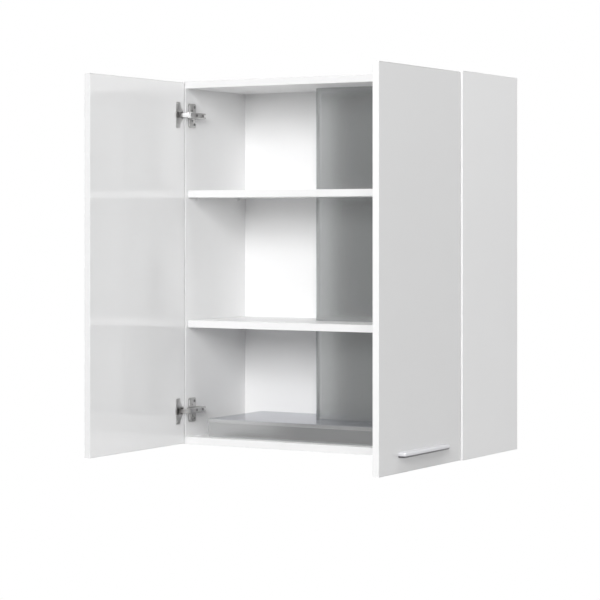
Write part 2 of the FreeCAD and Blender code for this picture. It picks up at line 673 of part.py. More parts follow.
def hood_body():
    tray = box(
        "tray_block", both_ways(case_half), (case_front, hood_rear), ("board", f"{hood_top} - lid_thick"),
    )
    tray_room = box(
        "tray_room", both_ways(f"{case_half} - hood_wall"),
        (f"{case_front} + hood_wall", f"{hood_rear} - hood_wall"),
        ("board + hood_wall", hood_top),
    )
    collar_half = "(cutout_width / 2 - collar_play)"
    collar_y = ("cutout_front + collar_play", "cutout_front + cutout_long - collar_play")
    collar = box("collar_block", both_ways(collar_half), collar_y, ("fascia_up", "board + hood_wall"))
    collar_room = box(
        "collar_room", both_ways(f"{collar_half} - hood_wall"),
        (f"{collar_y[0]} + hood_wall", f"{collar_y[1]} - hood_wall"),
        (fascia_top, "board + hood_wall"),
    )
    window = box(
        "filter_window", both_ways("filter_width / 2 + filter_play"),
        ("filter_front - filter_play", f"{filter_rear} + filter_play"), ("fascia_up", fascia_top),
    )
    tools = [tray_room, collar_room, window]
    for sign in (-1, 1):
        tools.append(rod(
            f"lamp_hole_{sign + 1}", "lamp_radius", f"{sign} * lamp_out", "lamp_back",
            ("fascia_up", fascia_top),
        ))
    for spot, x in enumerate(button_places):
        half_x = "button_length / 2 + button_play"
        half_y = "button_width / 2 + button_play"
        tools.append(box(
            f"button_hole_{spot}", (f"{x} - ({half_x})", f"{x} + {half_x}"),
            (f"button_back - ({half_y})", f"button_back + {half_y}"), ("fascia_up", fascia_top),
        ))
    for spot, (x, y) in enumerate(hood_screw_places):
        tools.append(
            rod(f"hood_hole_{spot}", "hood_screw_radius + drill_play", x, y, ("board", "board + hood_wall")),
        )
    shell = cut("hood_shell", join("hood_blank", tray, collar), *tools)
    ears = []
    for sign in (-1, 1):
        near = f"{sign} * (filter_width / 2 + ear_out)"
        far = f"{sign} * (filter_width / 2 + ear_out + ear_thick)"
        span = (far, near) if sign < 0 else (near, far)
        ear = box(
            f"ear_block_{sign + 1}", span, (f"{pivot_back_y} - ear_half", f"{pivot_back_y} + ear_half"),
            (fascia_top, f"{pivot_up} + ear_half"),
        )
        hole = rod(f"ear_hole_{sign + 1}", "pivot_radius + turn_play", span, pivot_back_y, pivot_up)
        ears.append(cut(f"ear_{sign + 1}", ear, hole))
    keep(join("hood_body", shell, *ears), "hood_body")


def hood_lid():
    block = box(
        "lid_block", both_ways("hood_width / 2"), ("hood_front", hood_rear),
        (f"{hood_top} - lip_height", hood_top),
    )
    room = box(
        "lid_room", both_ways("hood_width / 2 - lid_thick"), ("hood_front + lid_thick", hood_rear),
        (f"{hood_top} - lip_height", f"{hood_top} - lid_thick"),
    )
    air = duct_prism("lid_air", ["-duct_wall"], f"{hood_top} - lid_thick", hood_top)
    cable = rod(
        "lid_cable_hole", "gland_bore", "gland_out", "gland_back", (f"{hood_top} - lid_thick", hood_top),
    )
    keep(cut("hood_lid", block, room, air, cable), "hood_lid")
    gland = rod(
        "gland_block", "gland_radius", "gland_out", "gland_back", (hood_top, f"{hood_top} + gland_height"),
    )
    bore = rod(
        "gland_hole", "gland_bore", "gland_out", "gland_back", (hood_top, f"{hood_top} + gland_height"),
    )
    keep(cut("cable_gland", gland, bore), "cable_gland")


def hood_screws():
    screws = []
    seat = "board + hood_wall"
    for spot, (x, y) in enumerate(hood_screw_places):
        head = rod(f"hood_screw_{spot}_head", "hood_screw_head", x, y, (seat, f"{seat} + hood_screw_cap"))
        shank = rod(
            f"hood_screw_{spot}_shank", "hood_screw_radius", x, y,
            (f"{seat} - hood_screw_length", f"{seat} + hood_screw_cap"),
        )
        screws.append(join(f"hood_screw_{spot}", head, shank))
    keep(group("hood_screws", screws), "hood_screws")


def grease_filter():
    half = "filter_width / 2"
    window_x = both_ways(f"{half} - filter_rim")
    window_y = ("filter_front + filter_rim", f"{filter_rear} - filter_rim")
    block = box(
        "filter_block", both_ways(half), ("filter_front", filter_rear),
        ("fascia_up", "fascia_up + filter_thick"),
    )
    window = box("filter_room", window_x, window_y, ("fascia_up", "fascia_up + filter_thick"))
    pins = [
        rod(
            "filter_pin_right", "pivot_radius", (f"{half} - pivot_radius", f"{half} + pivot_length"),
            pivot_back_y, pivot_up,
        ),
        rod(
            "filter_pin_left", "pivot_radius", (f"-{half} - pivot_length", f"-{half} + pivot_radius"),
            pivot_back_y, pivot_up,
        ),
    ]
    keep(join("filter_frame", cut("filter_rim_cut", block, window), *pins), "filter_frame")
    mesh_low = "(fascia_up + filter_thick / 2 - mesh_thick / 2)"
    keep(box("filter_mesh", window_x, window_y, (mesh_low, f"{mesh_low} + mesh_thick")), "filter_mesh")
    keep(box(
        "filter_grip", both_ways("grip_width / 2"),
        ("filter_front + grip_front", "filter_front + grip_front + grip_deep"),
        ("fascia_up - grip_thick", "fascia_up"),
    ), "filter_grip")


def lamps_and_buttons():
    body = rod(
        "lamp_can", "lamp_radius - lamp_play", "lamp_out", "lamp_back",
        ("fascia_up - bezel_thick", "fascia_up + lamp_deep"),
    )
    bezel = rod("lamp_rim", "lamp_bezel", "lamp_out", "lamp_back", ("fascia_up - bezel_thick", "fascia_up"))
    keep_pair(join("right_lamp", body, bezel), "lamp")
    for spot, x in enumerate(button_places):
        half_x = "button_length / 2"
        half_y = "button_width / 2"
        stem = box(
            f"button_stem_{spot}", (f"{x} - {half_x}", f"{x} + {half_x}"),
            (f"button_back - {half_y}", f"button_back + {half_y}"),
            ("fascia_up - button_proud", f"{fascia_top} + button_stem"),
        )
        lip = box(
            f"button_lip_{spot}", (f"{x} - {half_x} - button_lip", f"{x} + {half_x} + button_lip"),
            (f"button_back - {half_y} - button_lip", f"button_back + {half_y} + button_lip"),
            (fascia_top, f"{fascia_top} + button_lip_thick"),
        )
        keep(join(f"button_{spot + 1}", stem, lip), f"button_{spot + 1}")


def duct():
    outside = duct_prism("duct_outside", [], hood_top, ceiling)
    inside = duct_prism("duct_inside", ["-duct_wall"], hood_top, ceiling)
    keep(cut("duct", outside, inside), "duct")


def fan():
    seat_top = f"({seat_base} + spoke_thick)"
    plate = duct_prism(
        "fan_plate_outline", ["-duct_wall", "-fan_play"], fan_base, f"{fan_base} + fan_plate",
    )
    ring = rod("fan_ring", f"{ring_radius} + ring_wall", "0", duct_middle, (fan_base, seat_top))
    throat = rod("fan_throat", ring_radius, "0", duct_middle, (fan_base, seat_top))
    seat = rod("motor_seat", "seat_radius", "0", duct_middle, (seat_base, seat_top))
    spokes = []
    for spot in range(spoke_count):
        arm = box(
            f"fan_spoke_block_{spot}", ("0", f"{ring_radius} + ring_wall / 2"), both_ways("spoke_width / 2"),
            ("0", "spoke_thick"), local=True,
        )
        spoke = group(f"fan_spoke_{spot}", [arm])
        spoke.Placement.Rotation = FreeCAD.Rotation(FreeCAD.Vector(0, 0, 1), 90 + 360 / spoke_count * spot)
        place(spoke, "0", duct_middle, seat_base)
        spokes.append(spoke)
    shell = cut("fan_shell", join("fan_blank", plate, ring), throat)
    shaft_hole = rod("fan_shaft_hole", "shaft_radius + shaft_room", "0", duct_middle, (seat_base, seat_top))
    keep(cut("fan_frame", join("fan_body", shell, seat, *spokes), shaft_hole), "fan_frame")

    hub_top = f"({seat_base} - hub_gap)"
    hub_low = f"({hub_top} - hub_height)"
    case = rod("motor_case", "motor_radius", "0", duct_middle, (seat_top, f"{seat_top} + motor_height"))
    shaft = rod("motor_shaft", "shaft_radius", "0", duct_middle, (hub_low, f"{seat_top} + motor_height"))
    keep(join("motor", case, shaft), "motor")

    hub = rod("impeller_hub", "hub_radius", "0", duct_middle, (hub_low, hub_top))
    blades = []
    for spot in range(blade_count):
        leaf = box(
            f"blade_leaf_{spot}", ("hub_radius - blade_root", f"{ring_radius} - impeller_play"),
            both_ways("blade_chord / 2"), both_ways("blade_thick / 2"), local=True,
        )
        blade = group(f"blade_{spot}", [leaf])
        pitch = FreeCAD.Rotation(FreeCAD.Vector(1, 0, 0), sizes["blade_pitch"])
        turn = FreeCAD.Rotation(FreeCAD.Vector(0, 0, 1), 360 / blade_count * spot)
        blade.Placement.Rotation = turn.multiply(pitch)
        place(blade, "0", duct_middle, f"({hub_low} + {hub_top}) / 2")
        blades.append(blade)
    bore = rod("impeller_bore", "shaft_radius + turn_play", "0", duct_middle, (hub_low, hub_top))
    keep(cut("impeller", join("impeller_body", hub, *blades), bore), "impeller")


def outlet():
    top = "(height + outlet_above)"
    tube = rod("outlet_tube", "outlet_radius", "0", duct_middle, (ceiling, top))
    rim = rod("outlet_rim_disc", "outlet_rim", "0", duct_middle, ("height", "height + outlet_rim_thick"))
    above = rod("outlet_bore_above", outlet_bore, "0", duct_middle, (ledge_top, top))
    below = rod("outlet_bore_below", outlet_bore, "0", duct_middle, (ceiling, f"{ledge_top} - ledge_thick"))
    waist = rod("outlet_bore_waist", f"{outlet_bore} - ledge_width", "0", duct_middle, (ceiling, top))
    pin = rod(
        "flap_pin", "flap_pin_radius", both_ways(f"{outlet_bore} + outlet_wall / 2"), duct_middle,
        flap_pin_up,
    )
    ring = cut("outlet_ring", join("outlet_blank", tube, rim), above, below, waist)
    keep(join("outlet_collar", ring, pin), "outlet_collar")

    reach = f"({outlet_bore} - flap_play)"
    flap_z = (f"{ledge_top} + flap_seat", f"{ledge_top} + flap_seat + flap_thick")
    clear = "(knuckle_radius + strap_overlap)"
    for label, sign in (("front_flap", -1), ("rear_flap", 1)):
        disc = rod(f"{label}_disc", reach, "0", duct_middle, flap_z)
        if sign < 0:
            half_y = (f"{duct_middle} - {reach}", f"{duct_middle} - {clear}")
            strap_y = (f"{duct_middle} - {clear} - strap_overlap", duct_middle)
            knuckle_x = (f"-{reach} + knuckle_end", "-knuckle_gap")
        else:
            half_y = (f"{duct_middle} + {clear}", f"{duct_middle} + {reach}")
            strap_y = (duct_middle, f"{duct_middle} + {clear} + strap_overlap")
            knuckle_x = ("knuckle_gap", f"{reach} - knuckle_end")
        half_disc = doc.addObject("Part::Common", f"{label}_half")
        half_disc.Base = disc
        half_disc.Tool = box(f"{label}_side", both_ways(reach), half_y, flap_z)
        strap = box(f"{label}_strap", knuckle_x, strap_y, flap_z)
        knuckle = rod(f"{label}_knuckle", "knuckle_radius", knuckle_x, duct_middle, flap_pin_up)
        hole = rod(f"{label}_bore", "flap_pin_radius + turn_play", knuckle_x, duct_middle, flap_pin_up)
        keep(cut(label, join(f"{label}_body", half_disc, strap, knuckle), hole), label)


side_panel()
top_panel()
bottom_panel()
back_panel()
dowels()
shelves()
hanging_rail()
hangers()
doors()
handles()
for hinge_level, hinge_up in hinge_heights.items():
    hinge_cup(hinge_level, hinge_up)
    hinge_plate(hinge_level, hinge_up)
    hinge_arm(hinge_level, hinge_up)
    hinge_link(hinge_level, hinge_up)
cup_screws()
hinge_fasteners()
hood_body()
hood_lid()
hood_screws()
grease_filter()
lamps_and_buttons()
duct()
fan()
outlet()
doc.recompute()

failed = [thing.Name for thing in doc.Objects if {"Invalid", "Error"} & set(thing.State)]
failed += [thing.Label for thing in pieces if thing.Shape.isNull() or not thing.Shape.isValid()]
if failed:
    raise RuntimeError("pieces that did not build: " + ", ".join(failed))
os.makedirs("parts", exist_ok=True)
for thing in pieces:
    thing.Shape.exportStep(f"parts/{thing.Label}.step")
    print(thing.Label, len(thing.Shape.Solids), "solids", round(thing.Shape.Volume / 1000, 2), "cm3")
print(len(pieces), "pieces")
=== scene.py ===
import json
import math

import bmesh
import bpy
import numpy as np
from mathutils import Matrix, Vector


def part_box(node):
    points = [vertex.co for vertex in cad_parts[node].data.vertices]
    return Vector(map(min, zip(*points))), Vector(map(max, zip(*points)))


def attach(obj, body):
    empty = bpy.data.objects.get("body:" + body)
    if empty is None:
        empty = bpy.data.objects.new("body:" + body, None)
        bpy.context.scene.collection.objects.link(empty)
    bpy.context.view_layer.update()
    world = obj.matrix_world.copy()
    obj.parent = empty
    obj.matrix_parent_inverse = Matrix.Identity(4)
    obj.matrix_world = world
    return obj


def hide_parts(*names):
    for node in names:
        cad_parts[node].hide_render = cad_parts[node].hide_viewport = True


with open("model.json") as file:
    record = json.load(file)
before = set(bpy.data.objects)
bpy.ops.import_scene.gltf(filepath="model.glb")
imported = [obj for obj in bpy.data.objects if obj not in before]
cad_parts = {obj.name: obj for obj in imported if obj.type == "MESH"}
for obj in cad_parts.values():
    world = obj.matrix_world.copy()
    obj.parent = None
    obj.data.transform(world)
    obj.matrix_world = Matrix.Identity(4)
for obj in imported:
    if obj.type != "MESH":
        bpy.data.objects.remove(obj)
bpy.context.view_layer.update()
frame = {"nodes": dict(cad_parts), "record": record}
nodes = frame["nodes"]
mm = 0.001
sides, levels = ("left", "right"), ("upper", "lower")
print("frame loaded:", len(nodes), "nodes")


# shader wiring

class Wire:
    # a shader socket that takes Python's operators

    def __init__(self, paint, socket):
        self.paint = paint
        self.socket = socket

    def math(self, operation, *others):
        return self.paint.node("ShaderNodeMath", {"operation": operation}, dict(enumerate((self, *others))))

    def __add__(self, other):
        return self.math("ADD", other)

    def __sub__(self, other):
        return self.math("SUBTRACT", other)

    def __mul__(self, other):
        return self.math("MULTIPLY", other)

    def __gt__(self, other):
        return self.math("GREATER_THAN", other)

    def __lt__(self, other):
        return self.math("LESS_THAN", other)

    __radd__ = __add__
    __rmul__ = __mul__

    def fade(self, low, high):
        # 0 at low, 1 at high, eased between them
        return self.paint.node("ShaderNodeMapRange", {"interpolation_type": "SMOOTHSTEP"},
                               {"Value": self, "From Min": low, "From Max": high})


class Paint:
    # one node tree, of a material or of the world

    def __init__(self, tree):
        self.tree = tree
        tree.nodes.clear()

    def node(self, kind, settings=None, sockets=None, out=0):
        # a new node, its sockets set or wired; gives one of its outputs
        made = self.tree.nodes.new(kind)
        for key, value in (settings or {}).items():
            if key == "stops":
                ramp = made.color_ramp
                while len(ramp.elements) < len(value):
                    ramp.elements.new(0.5)
                for stop, (place, colour) in zip(ramp.elements, value):
                    stop.position = place
                    stop.color = (*colour, 1.0)
            else:
                setattr(made, key, value)
        for key, value in (sockets or {}).items():
            if isinstance(value, Wire):
                self.tree.links.new(value.socket, made.inputs[key])
            else:
                made.inputs[key].default_value = value
        return None if out is None else Wire(self, made.outputs[out])

    def place(self):
        # a point on the object's own axes, in m
        return self.node("ShaderNodeTexCoord", out="Object")

    def axes(self):
        # the place's x, y and z, one wire each
        split = self.node("ShaderNodeSeparateXYZ", None, {0: self.place()})
        return [Wire(self, split.socket.node.outputs[axis]) for axis in range(3)]

    def noise(self, scale, detail=2.0, stretch=(1, 1, 1), rough=0.5):
        # cloudy noise, drawn out along the axes where stretch is small
        spot = self.node("ShaderNodeMapping", None, {"Vector": self.place(), "Scale": stretch})
        return self.node("ShaderNodeTexNoise", None,
                         {"Vector": spot, "Scale": scale, "Detail": detail, "Roughness": rough})

    def blend(self, share, first, second):
        # the first colour at share 0, the second at 1
        first, second = ((*c, 1.0) if isinstance(c, tuple) else c for c in (first, second))
        return self.node("ShaderNodeMix", {"data_type": "RGBA"}, {0: share, 6: first, 7: second}, out=2)

    def bump(self, height, depth, strength):
        # a normal tilted by a height from 0 to 1 over a depth in m
        return self.node("ShaderNodeBump", None, {"Height": height, "Distance": depth, "Strength": strength})

    def mixed(self, share, first, second):
        # the first surface at share 0, the second at 1
        return self.node("ShaderNodeMixShader", None, {0: share, 1: first, 2: second})

    def close(self, surface, target="ShaderNodeOutputMaterial"):
        # the surface goes to the tree's output
        self.node(target, None, {"Surface": surface}, out=None)


def material(name):
    # a new material and the paint of its cleared node tree
    made = bpy.data.materials.new(name)
    made.use_nodes = True
    return made, Paint(made.node_tree)


# shapes, drawn in mm from the middle of the cabinet's lower front edge

datum = np.array([0.0, 302.0, 858.0])
weld = 0.002


def span(node):
    # the two corners of a node's box
    low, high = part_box(node)
    return np.array(low) / mm + datum, np.array(high) / mm + datum


def standing(flat, height, axis):
    # outline points (u, v) with a height put in along one axis
    return np.insert(flat, axis, np.broadcast_to(height, flat.shape[:-1]), -1)


def loft(rings, closeRows=False, closeCols=True):
    # quads between points in rows along the path and columns round the profile; open ends are capped
    rings = np.asarray(rings, float)
    rows, cols = rings.shape[:2]
    index = np.arange(rows * cols).reshape(rows, cols)
    caps = [index[:1, ::-1], index[-1:]] if closeCols and not closeRows else []
    if closeRows:
        index = np.vstack([index, index[:1]])
    if closeCols:
        index = np.hstack([index, index[:, :1]])
    quads = np.stack([index[:-1, :-1], index[:-1, 1:], index[1:, 1:], index[1:, :-1]], -1)
    return rings.reshape(-1, 3), [quads.reshape(-1, 4), *caps]


def together(*shapes):
    # several shapes as one, face numbers moved on by the points before them
    before = np.cumsum([0] + [len(points) for points, _ in shapes])
    return (np.concatenate([points for points, _ in shapes]),
            [face + start for (_, faces), start in zip(shapes, before) for face in faces])


def mirrored(shape):
    # x changes sign, and each face is listed backwards
    return shape[0] * [-1, 1, 1], [face[:, ::-1] for face in shape[1]]


def moved(shape, x=0.0, y=0.0, z=0.0):
    # every point stepped by (x, y, z)
    return shape[0] + [x, y, z], shape[1]


def rectangle(u0, u1, v0, v1):
    # four corners, anticlockwise
    return np.array([(u0, v0), (u1, v0), (u1, v1), (u0, v1)], float)


def softPolygon(corners, radius, steps=5):
    # each corner becomes an arc that leaves and meets its sides one radius away
    corners = np.asarray(corners, float)
    radius = np.broadcast_to(radius, len(corners))[:, None]
    ways = [np.roll(corners, shift, 0) - corners for shift in (1, -1)]
    start, end = (corners + way / np.linalg.norm(way, axis=1, keepdims=True) * radius for way in ways)
    s = np.linspace(0, 1, steps)[None, :, None]
    a, b, c = (1 - s) ** 2, 2 * s * (1 - s) * math.sqrt(0.5), s ** 2
    curve = (a * start[:, None] + b * corners[:, None] + c * end[:, None]) / (a + b + c)
    return curve.reshape(-1, 2)


def inset(outline, amount):
    # every point steps inwards along the joint normal of its two sides
    rungs = np.roll(outline, -1, 0) - outline
    normals = np.stack([-rungs[:, 1], rungs[:, 0]], 1)
    normals /= np.maximum(np.linalg.norm(normals, axis=1, keepdims=True), 1e-9)
    before = np.roll(normals, 1, 0)
    return outline + (normals + before) * amount / (1 + (normals * before).sum(1, keepdims=True))


def plate(outline, low, high, axis, edge=0.0, steps=3):
    # an outline carried along one axis, its two rims rounded by quarter circles
    turn = np.linspace(0, math.pi / 2, steps) if edge else np.zeros(1)
    shrink, rise = edge * (1 - np.sin(turn)), edge * (1 - np.cos(turn))
    rings = [standing(inset(outline, s), low + r, axis) for s, r in zip(shrink, rise)]
    rings += [standing(inset(outline, s), high - r, axis) for s, r in zip(shrink[::-1], rise[::-1])]
    return loft(rings)


def block(low, high):
    # a box between two corners
    return plate(rectangle(low[0], high[0], low[1], high[1]), low[2], high[2], 2)


def lathe(profile, segments=48, axis=2, centre=(0, 0, 0), closeRows=False):
    # a profile of (radius, height) turned round one axis
    turn = np.linspace(0, 2 * math.pi, segments, endpoint=False)
    profile = np.asarray(profile, float)
    rings = profile[:, None, :1] * np.stack([np.cos(turn), np.sin(turn)], 1)[None]
    return moved(loft(standing(rings, profile[:, 1:], axis), closeRows=closeRows), *centre)


def reach(outline, centre, angles, density=24):
    # distance from a centre to a star-shaped outline at each angle
    closed = np.vstack([outline, outline[:1]])
    share = np.linspace(0, 1, density, endpoint=False)[None, :, None]
    dense = (closed[:-1, None] * (1 - share) + closed[1:, None] * share).reshape(-1, 2) - centre
    return np.interp(angles, np.arctan2(dense[:, 1], dense[:, 0]), np.hypot(*dense.T), period=2 * math.pi)


def ray(distance, angles, centre=(0, 0)):
    # points at a distance from the centre, one on each angle
    return np.asarray(centre) + np.reshape(distance, (-1, 1)) * np.stack([np.cos(angles), np.sin(angles)], 1)


def cornerAngles(count, *outlines):
    # an even fan of angles, with every corner of the outlines added
    fan = [np.linspace(-math.pi, math.pi, count, endpoint=False)]
    fan += [np.arctan2(outline[:, 1], outline[:, 0]) for outline in outlines]
    return np.unique(np.round(np.concatenate(fan), 5))


def meshOf(name, shape):
    # a mesh whose near points are welded and whose faces look outwards
    mesh = bpy.data.meshes.new(name)
    mesh.from_pydata(shape[0].tolist(), [], [row for face in shape[1] for row in face.tolist()])
    work = bmesh.new()
    work.from_mesh(mesh)
    bmesh.ops.remove_doubles(work, verts=work.verts, dist=weld)
    bmesh.ops.recalc_face_normals(work, faces=work.faces)
    work.to_mesh(mesh)
    work.free()
    return mesh


def placed(name, data):
    # a new object in the scene
    made = bpy.data.objects.new(name, data)
    bpy.context.scene.collection.objects.link(made)
    return made


def carve(shape, cutter):
    # the first shape less the second, by a Boolean between two passing objects
    pair = [placed("passing", meshOf("passing", part)) for part in (shape, cutter)]
    cut = pair[0].modifiers.new("cut", "BOOLEAN")
    cut.operation, cut.solver, cut.object = "DIFFERENCE", "EXACT", pair[1]
    result = pair[0].evaluated_get(bpy.context.evaluated_depsgraph_get()).data
    points = np.empty(len(result.vertices) * 3)
    loops = np.empty(len(result.loops), int)
    starts = np.empty(len(result.polygons), int)
    result.vertices.foreach_get("co", points)
    result.loops.foreach_get("vertex_index", loops)
    result.polygons.foreach_get("loop_start", starts)
    for one in pair:
        mesh = one.data
        bpy.data.objects.remove(one)
        bpy.data.meshes.remove(mesh)
    return points.reshape(-1, 3), [face[None] for face in np.split(loops, starts[1:])]


finishes = {}


def dress(made, look):
    # one finish all over
    made.data.materials.clear()
    made.data.materials.append(finishes[look])


def dressPart(made, look, chosen):
    # a second finish on the faces whose middles, in mm from the datum, are chosen
    faces = made.data.polygons
    middles = np.empty(len(faces) * 3)
    faces.foreach_get("center", middles)
    x, y, z = (middles.reshape(-1, 3) / mm + datum).T
    made.data.materials.append(finishes[look])
    faces.foreach_set("material_index", chosen(x, y, z).astype(np.int32))


def soften(made, width, segments=2, angle=30.0):
    # a rounded rim on every edge sharper than the angle
    rim = made.modifiers.new("rim", "BEVEL")
    rim.width, rim.segments = width * mm, segments
    rim.limit_method, rim.angle_limit = "ANGLE", math.radians(angle)
    rim.harden_normals, rim.use_clamp_overlap = True, False


def piece(name, shape, body, slot, stands=(), sharp=32.0, rim=0.0):
    # a finished mesh on the frame, riding on its body and standing for its nodes
    mesh = meshOf(name, shape)
    points = np.empty(len(mesh.vertices) * 3)
    mesh.vertices.foreach_get("co", points)
    points = (points.reshape(-1, 3) - datum) * mm
    mesh.vertices.foreach_set("co", points.ravel())
    mesh.update()
    mesh.shade_smooth()
    mesh.set_sharp_from_angle(angle=math.radians(sharp))
    made = placed(name, mesh)
    dress(made, slot)
    if rim:
        soften(made, rim)
    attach(made, body)
    if stands:
        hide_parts(*stands)
    return made


# finishes; the borders between two looks lie on the object's own axes, in m

borders = {"shadedOuterFace": 0.3975, "litBandRim": 0.3925, "rearEdge": -0.0004, "backSheetRear": -0.0172,
           "paintedLightLip": -0.7946}
# the outer tones are painted shade on the doors' outer faces
whites = {"outer": (0.755, 0.755, 0.757), "shadedOuterLow": (0.745, 0.745, 0.747),
          "gloss": (0.84, 0.84, 0.841), "glossLow": (0.83, 0.83, 0.832),
          "board": (0.885, 0.885, 0.886), "boardLow": (0.87, 0.87, 0.872),
          # the rim tone is painted light on the right side board's outer edge strip
          "band": (0.8, 0.8, 0.801), "bandLow": (0.785, 0.785, 0.786), "rim": (0.97, 0.97, 0.971)}
woods = {"chipDark": (0.36, 0.25, 0.15), "chipPale": (0.66, 0.53, 0.36),
         "fibre": (0.33, 0.22, 0.13), "fibrePale": (0.42, 0.3, 0.19)}


def principled(paint, **sockets):
    # a Principled surface; its sockets are named with underscores
    named = {key.replace("_", " ").title().replace("Ior", "IOR"): value for key, value in sockets.items()}
    paint.close(paint.node("ShaderNodeBsdfPrincipled", None, named))


def chipColour(paint):
    # pressed chips: pale and dark flakes, stretched along the board
    flakes = paint.noise(scale=300, detail=4, stretch=(1, 1, 0.35), rough=0.65)
    stops = [(0.36, woods["chipDark"]), (0.62, woods["chipPale"])]
    return paint.node("ShaderNodeValToRGB", {"stops": stops}, {"Fac": flakes})


def bandFinish():
    # edge band: a matt strip a shade below the board, with a fine grain along it and outer rims painted paler,
    # the right one near white: painted light where the door shades the edge
    made, paint = material("edgeBand")
    grain = paint.noise(scale=900, stretch=(0.1, 1, 0.1))
    x, _, _ = paint.axes()
    strip = paint.blend(grain, whites["bandLow"], whites["band"])
    # the side boards' outer edge strips painted paler, near white on the right: painted light
    leftLitRim = paint.blend(x < -borders["litBandRim"], strip, whites["board"])
    principled(paint, base_color=paint.blend(x > borders["litBandRim"], leftLitRim, whites["rim"]),
               roughness=0.38 + 0.08 * grain, normal=paint.bump(grain, depth=0.00002, strength=0.3))
    return made


def boardFinish():
    # melamine: fine closed pores, faint drift in tone, raw chips on the rear edge
    made, paint = material("whiteBoard")
    _, y, _ = paint.axes()
    rear = y > borders["rearEdge"]
    pores = paint.noise(scale=1500)
    face = paint.blend(paint.noise(scale=5), whites["boardLow"], whites["board"])
    principled(paint, base_color=paint.blend(rear, face, chipColour(paint)),
               roughness=0.33 + 0.08 * pores + 0.4 * rear,
               normal=paint.bump(pores, depth=0.00003, strength=0.35))
    return made


def glossFinish():
    # lacquer: a very shallow swell in the film under a sharp gloss, the outer faces painted a shade darker than
    # the inner: painted shade
    made, paint = material("glossFront")
    x, _, _ = paint.axes()
    drift = paint.noise(scale=4)
    inner = paint.blend(drift, whites["glossLow"], whites["gloss"])
    # the doors' outer faces take the darker tones: painted shade
    outer = paint.blend(drift, whites["shadedOuterLow"], whites["outer"])
    principled(paint, base_color=paint.blend(x * x > borders["shadedOuterFace"] ** 2, inner, outer),
               roughness=0.02 + 0.02 * paint.noise(scale=9), ior=1.8,
               normal=paint.bump(paint.noise(scale=70), depth=0.00004, strength=0.08))
    return made


def backFinish():
    # thin fibreboard, white film in front and bare brown fibre behind
    made, paint = material("backSheet")
    _, y, _ = paint.axes()
    rear = y > borders["backSheetRear"]
    fibres = paint.noise(scale=700, detail=3, rough=0.7)
    bare = paint.blend(fibres, woods["fibre"], woods["fibrePale"])
    face = paint.blend(paint.noise(scale=5), whites["boardLow"], whites["board"])
    principled(paint, base_color=paint.blend(rear, face, bare), roughness=0.4 + 0.06 * fibres + 0.3 * rear,
               normal=paint.bump(fibres, depth=0.00003, strength=0.3))
    return made


def woodFinish():
    # raw wood: pale and dark grain drawn out along x
    made, paint = material("rawWood")
    grain = paint.noise(scale=260, detail=4, stretch=(0.15, 1, 1), rough=0.6)
    principled(paint, base_color=paint.blend(grain, woods["chipDark"], woods["chipPale"]),
               roughness=0.62 + 0.15 * grain, normal=paint.bump(grain, depth=0.0001, strength=0.5))
    return made


def metalFinish(name, pale, dark, rough, scale, depth, metallic=1.0, brush=(1, 1, 1), wear=0.1, lip=None):
    # brushed or rolled metal: lines drawn out along the axes where brush is small, with smudges;
    # a lip colour, if there is one, is painted light: it lies below the lid's lip border, lighter than the
    # sheet above
    made, paint = material(name)
    lines = paint.noise(scale, detail=3, stretch=brush, rough=0.6)
    smudge = paint.noise(scale=14, detail=3)
    tone = paint.blend(lines * 0.5 + smudge * 0.5, dark, pale)
    if lip:
        _, _, z = paint.axes()
        # the turned-down lip painted lighter than the lid's top: painted light
        tone = paint.blend(z < borders["paintedLightLip"], tone, lip)
    principled(paint, base_color=tone, metallic=metallic,
               roughness=rough + wear * (lines - 0.5) + wear * (smudge - 0.5),
               normal=paint.bump(lines, depth, strength=0.5))
    return made


def plasticFinish(name, pale, dark, rough):
    # moulded plastic: even spark-eroded grain
    made, paint = material(name)
    grain = paint.noise(scale=1600)
    principled(paint, base_color=paint.blend(paint.noise(scale=40), dark, pale),
               roughness=rough + 0.15 * (grain - 0.5), normal=paint.bump(grain, depth=0.00004, strength=0.5))
    return made


def lensFinish():
    # frosted lamp cover, a fine prism grain over a milky body
    made, paint = material("lampLens")
    grain = paint.noise(scale=900)
    principled(paint, base_color=paint.blend(grain, (0.8, 0.82, 0.84), (0.9, 0.91, 0.92)),
               roughness=0.22 + 0.2 * grain, ior=1.49, normal=paint.bump(grain, depth=0.0001, strength=0.5))
    return made


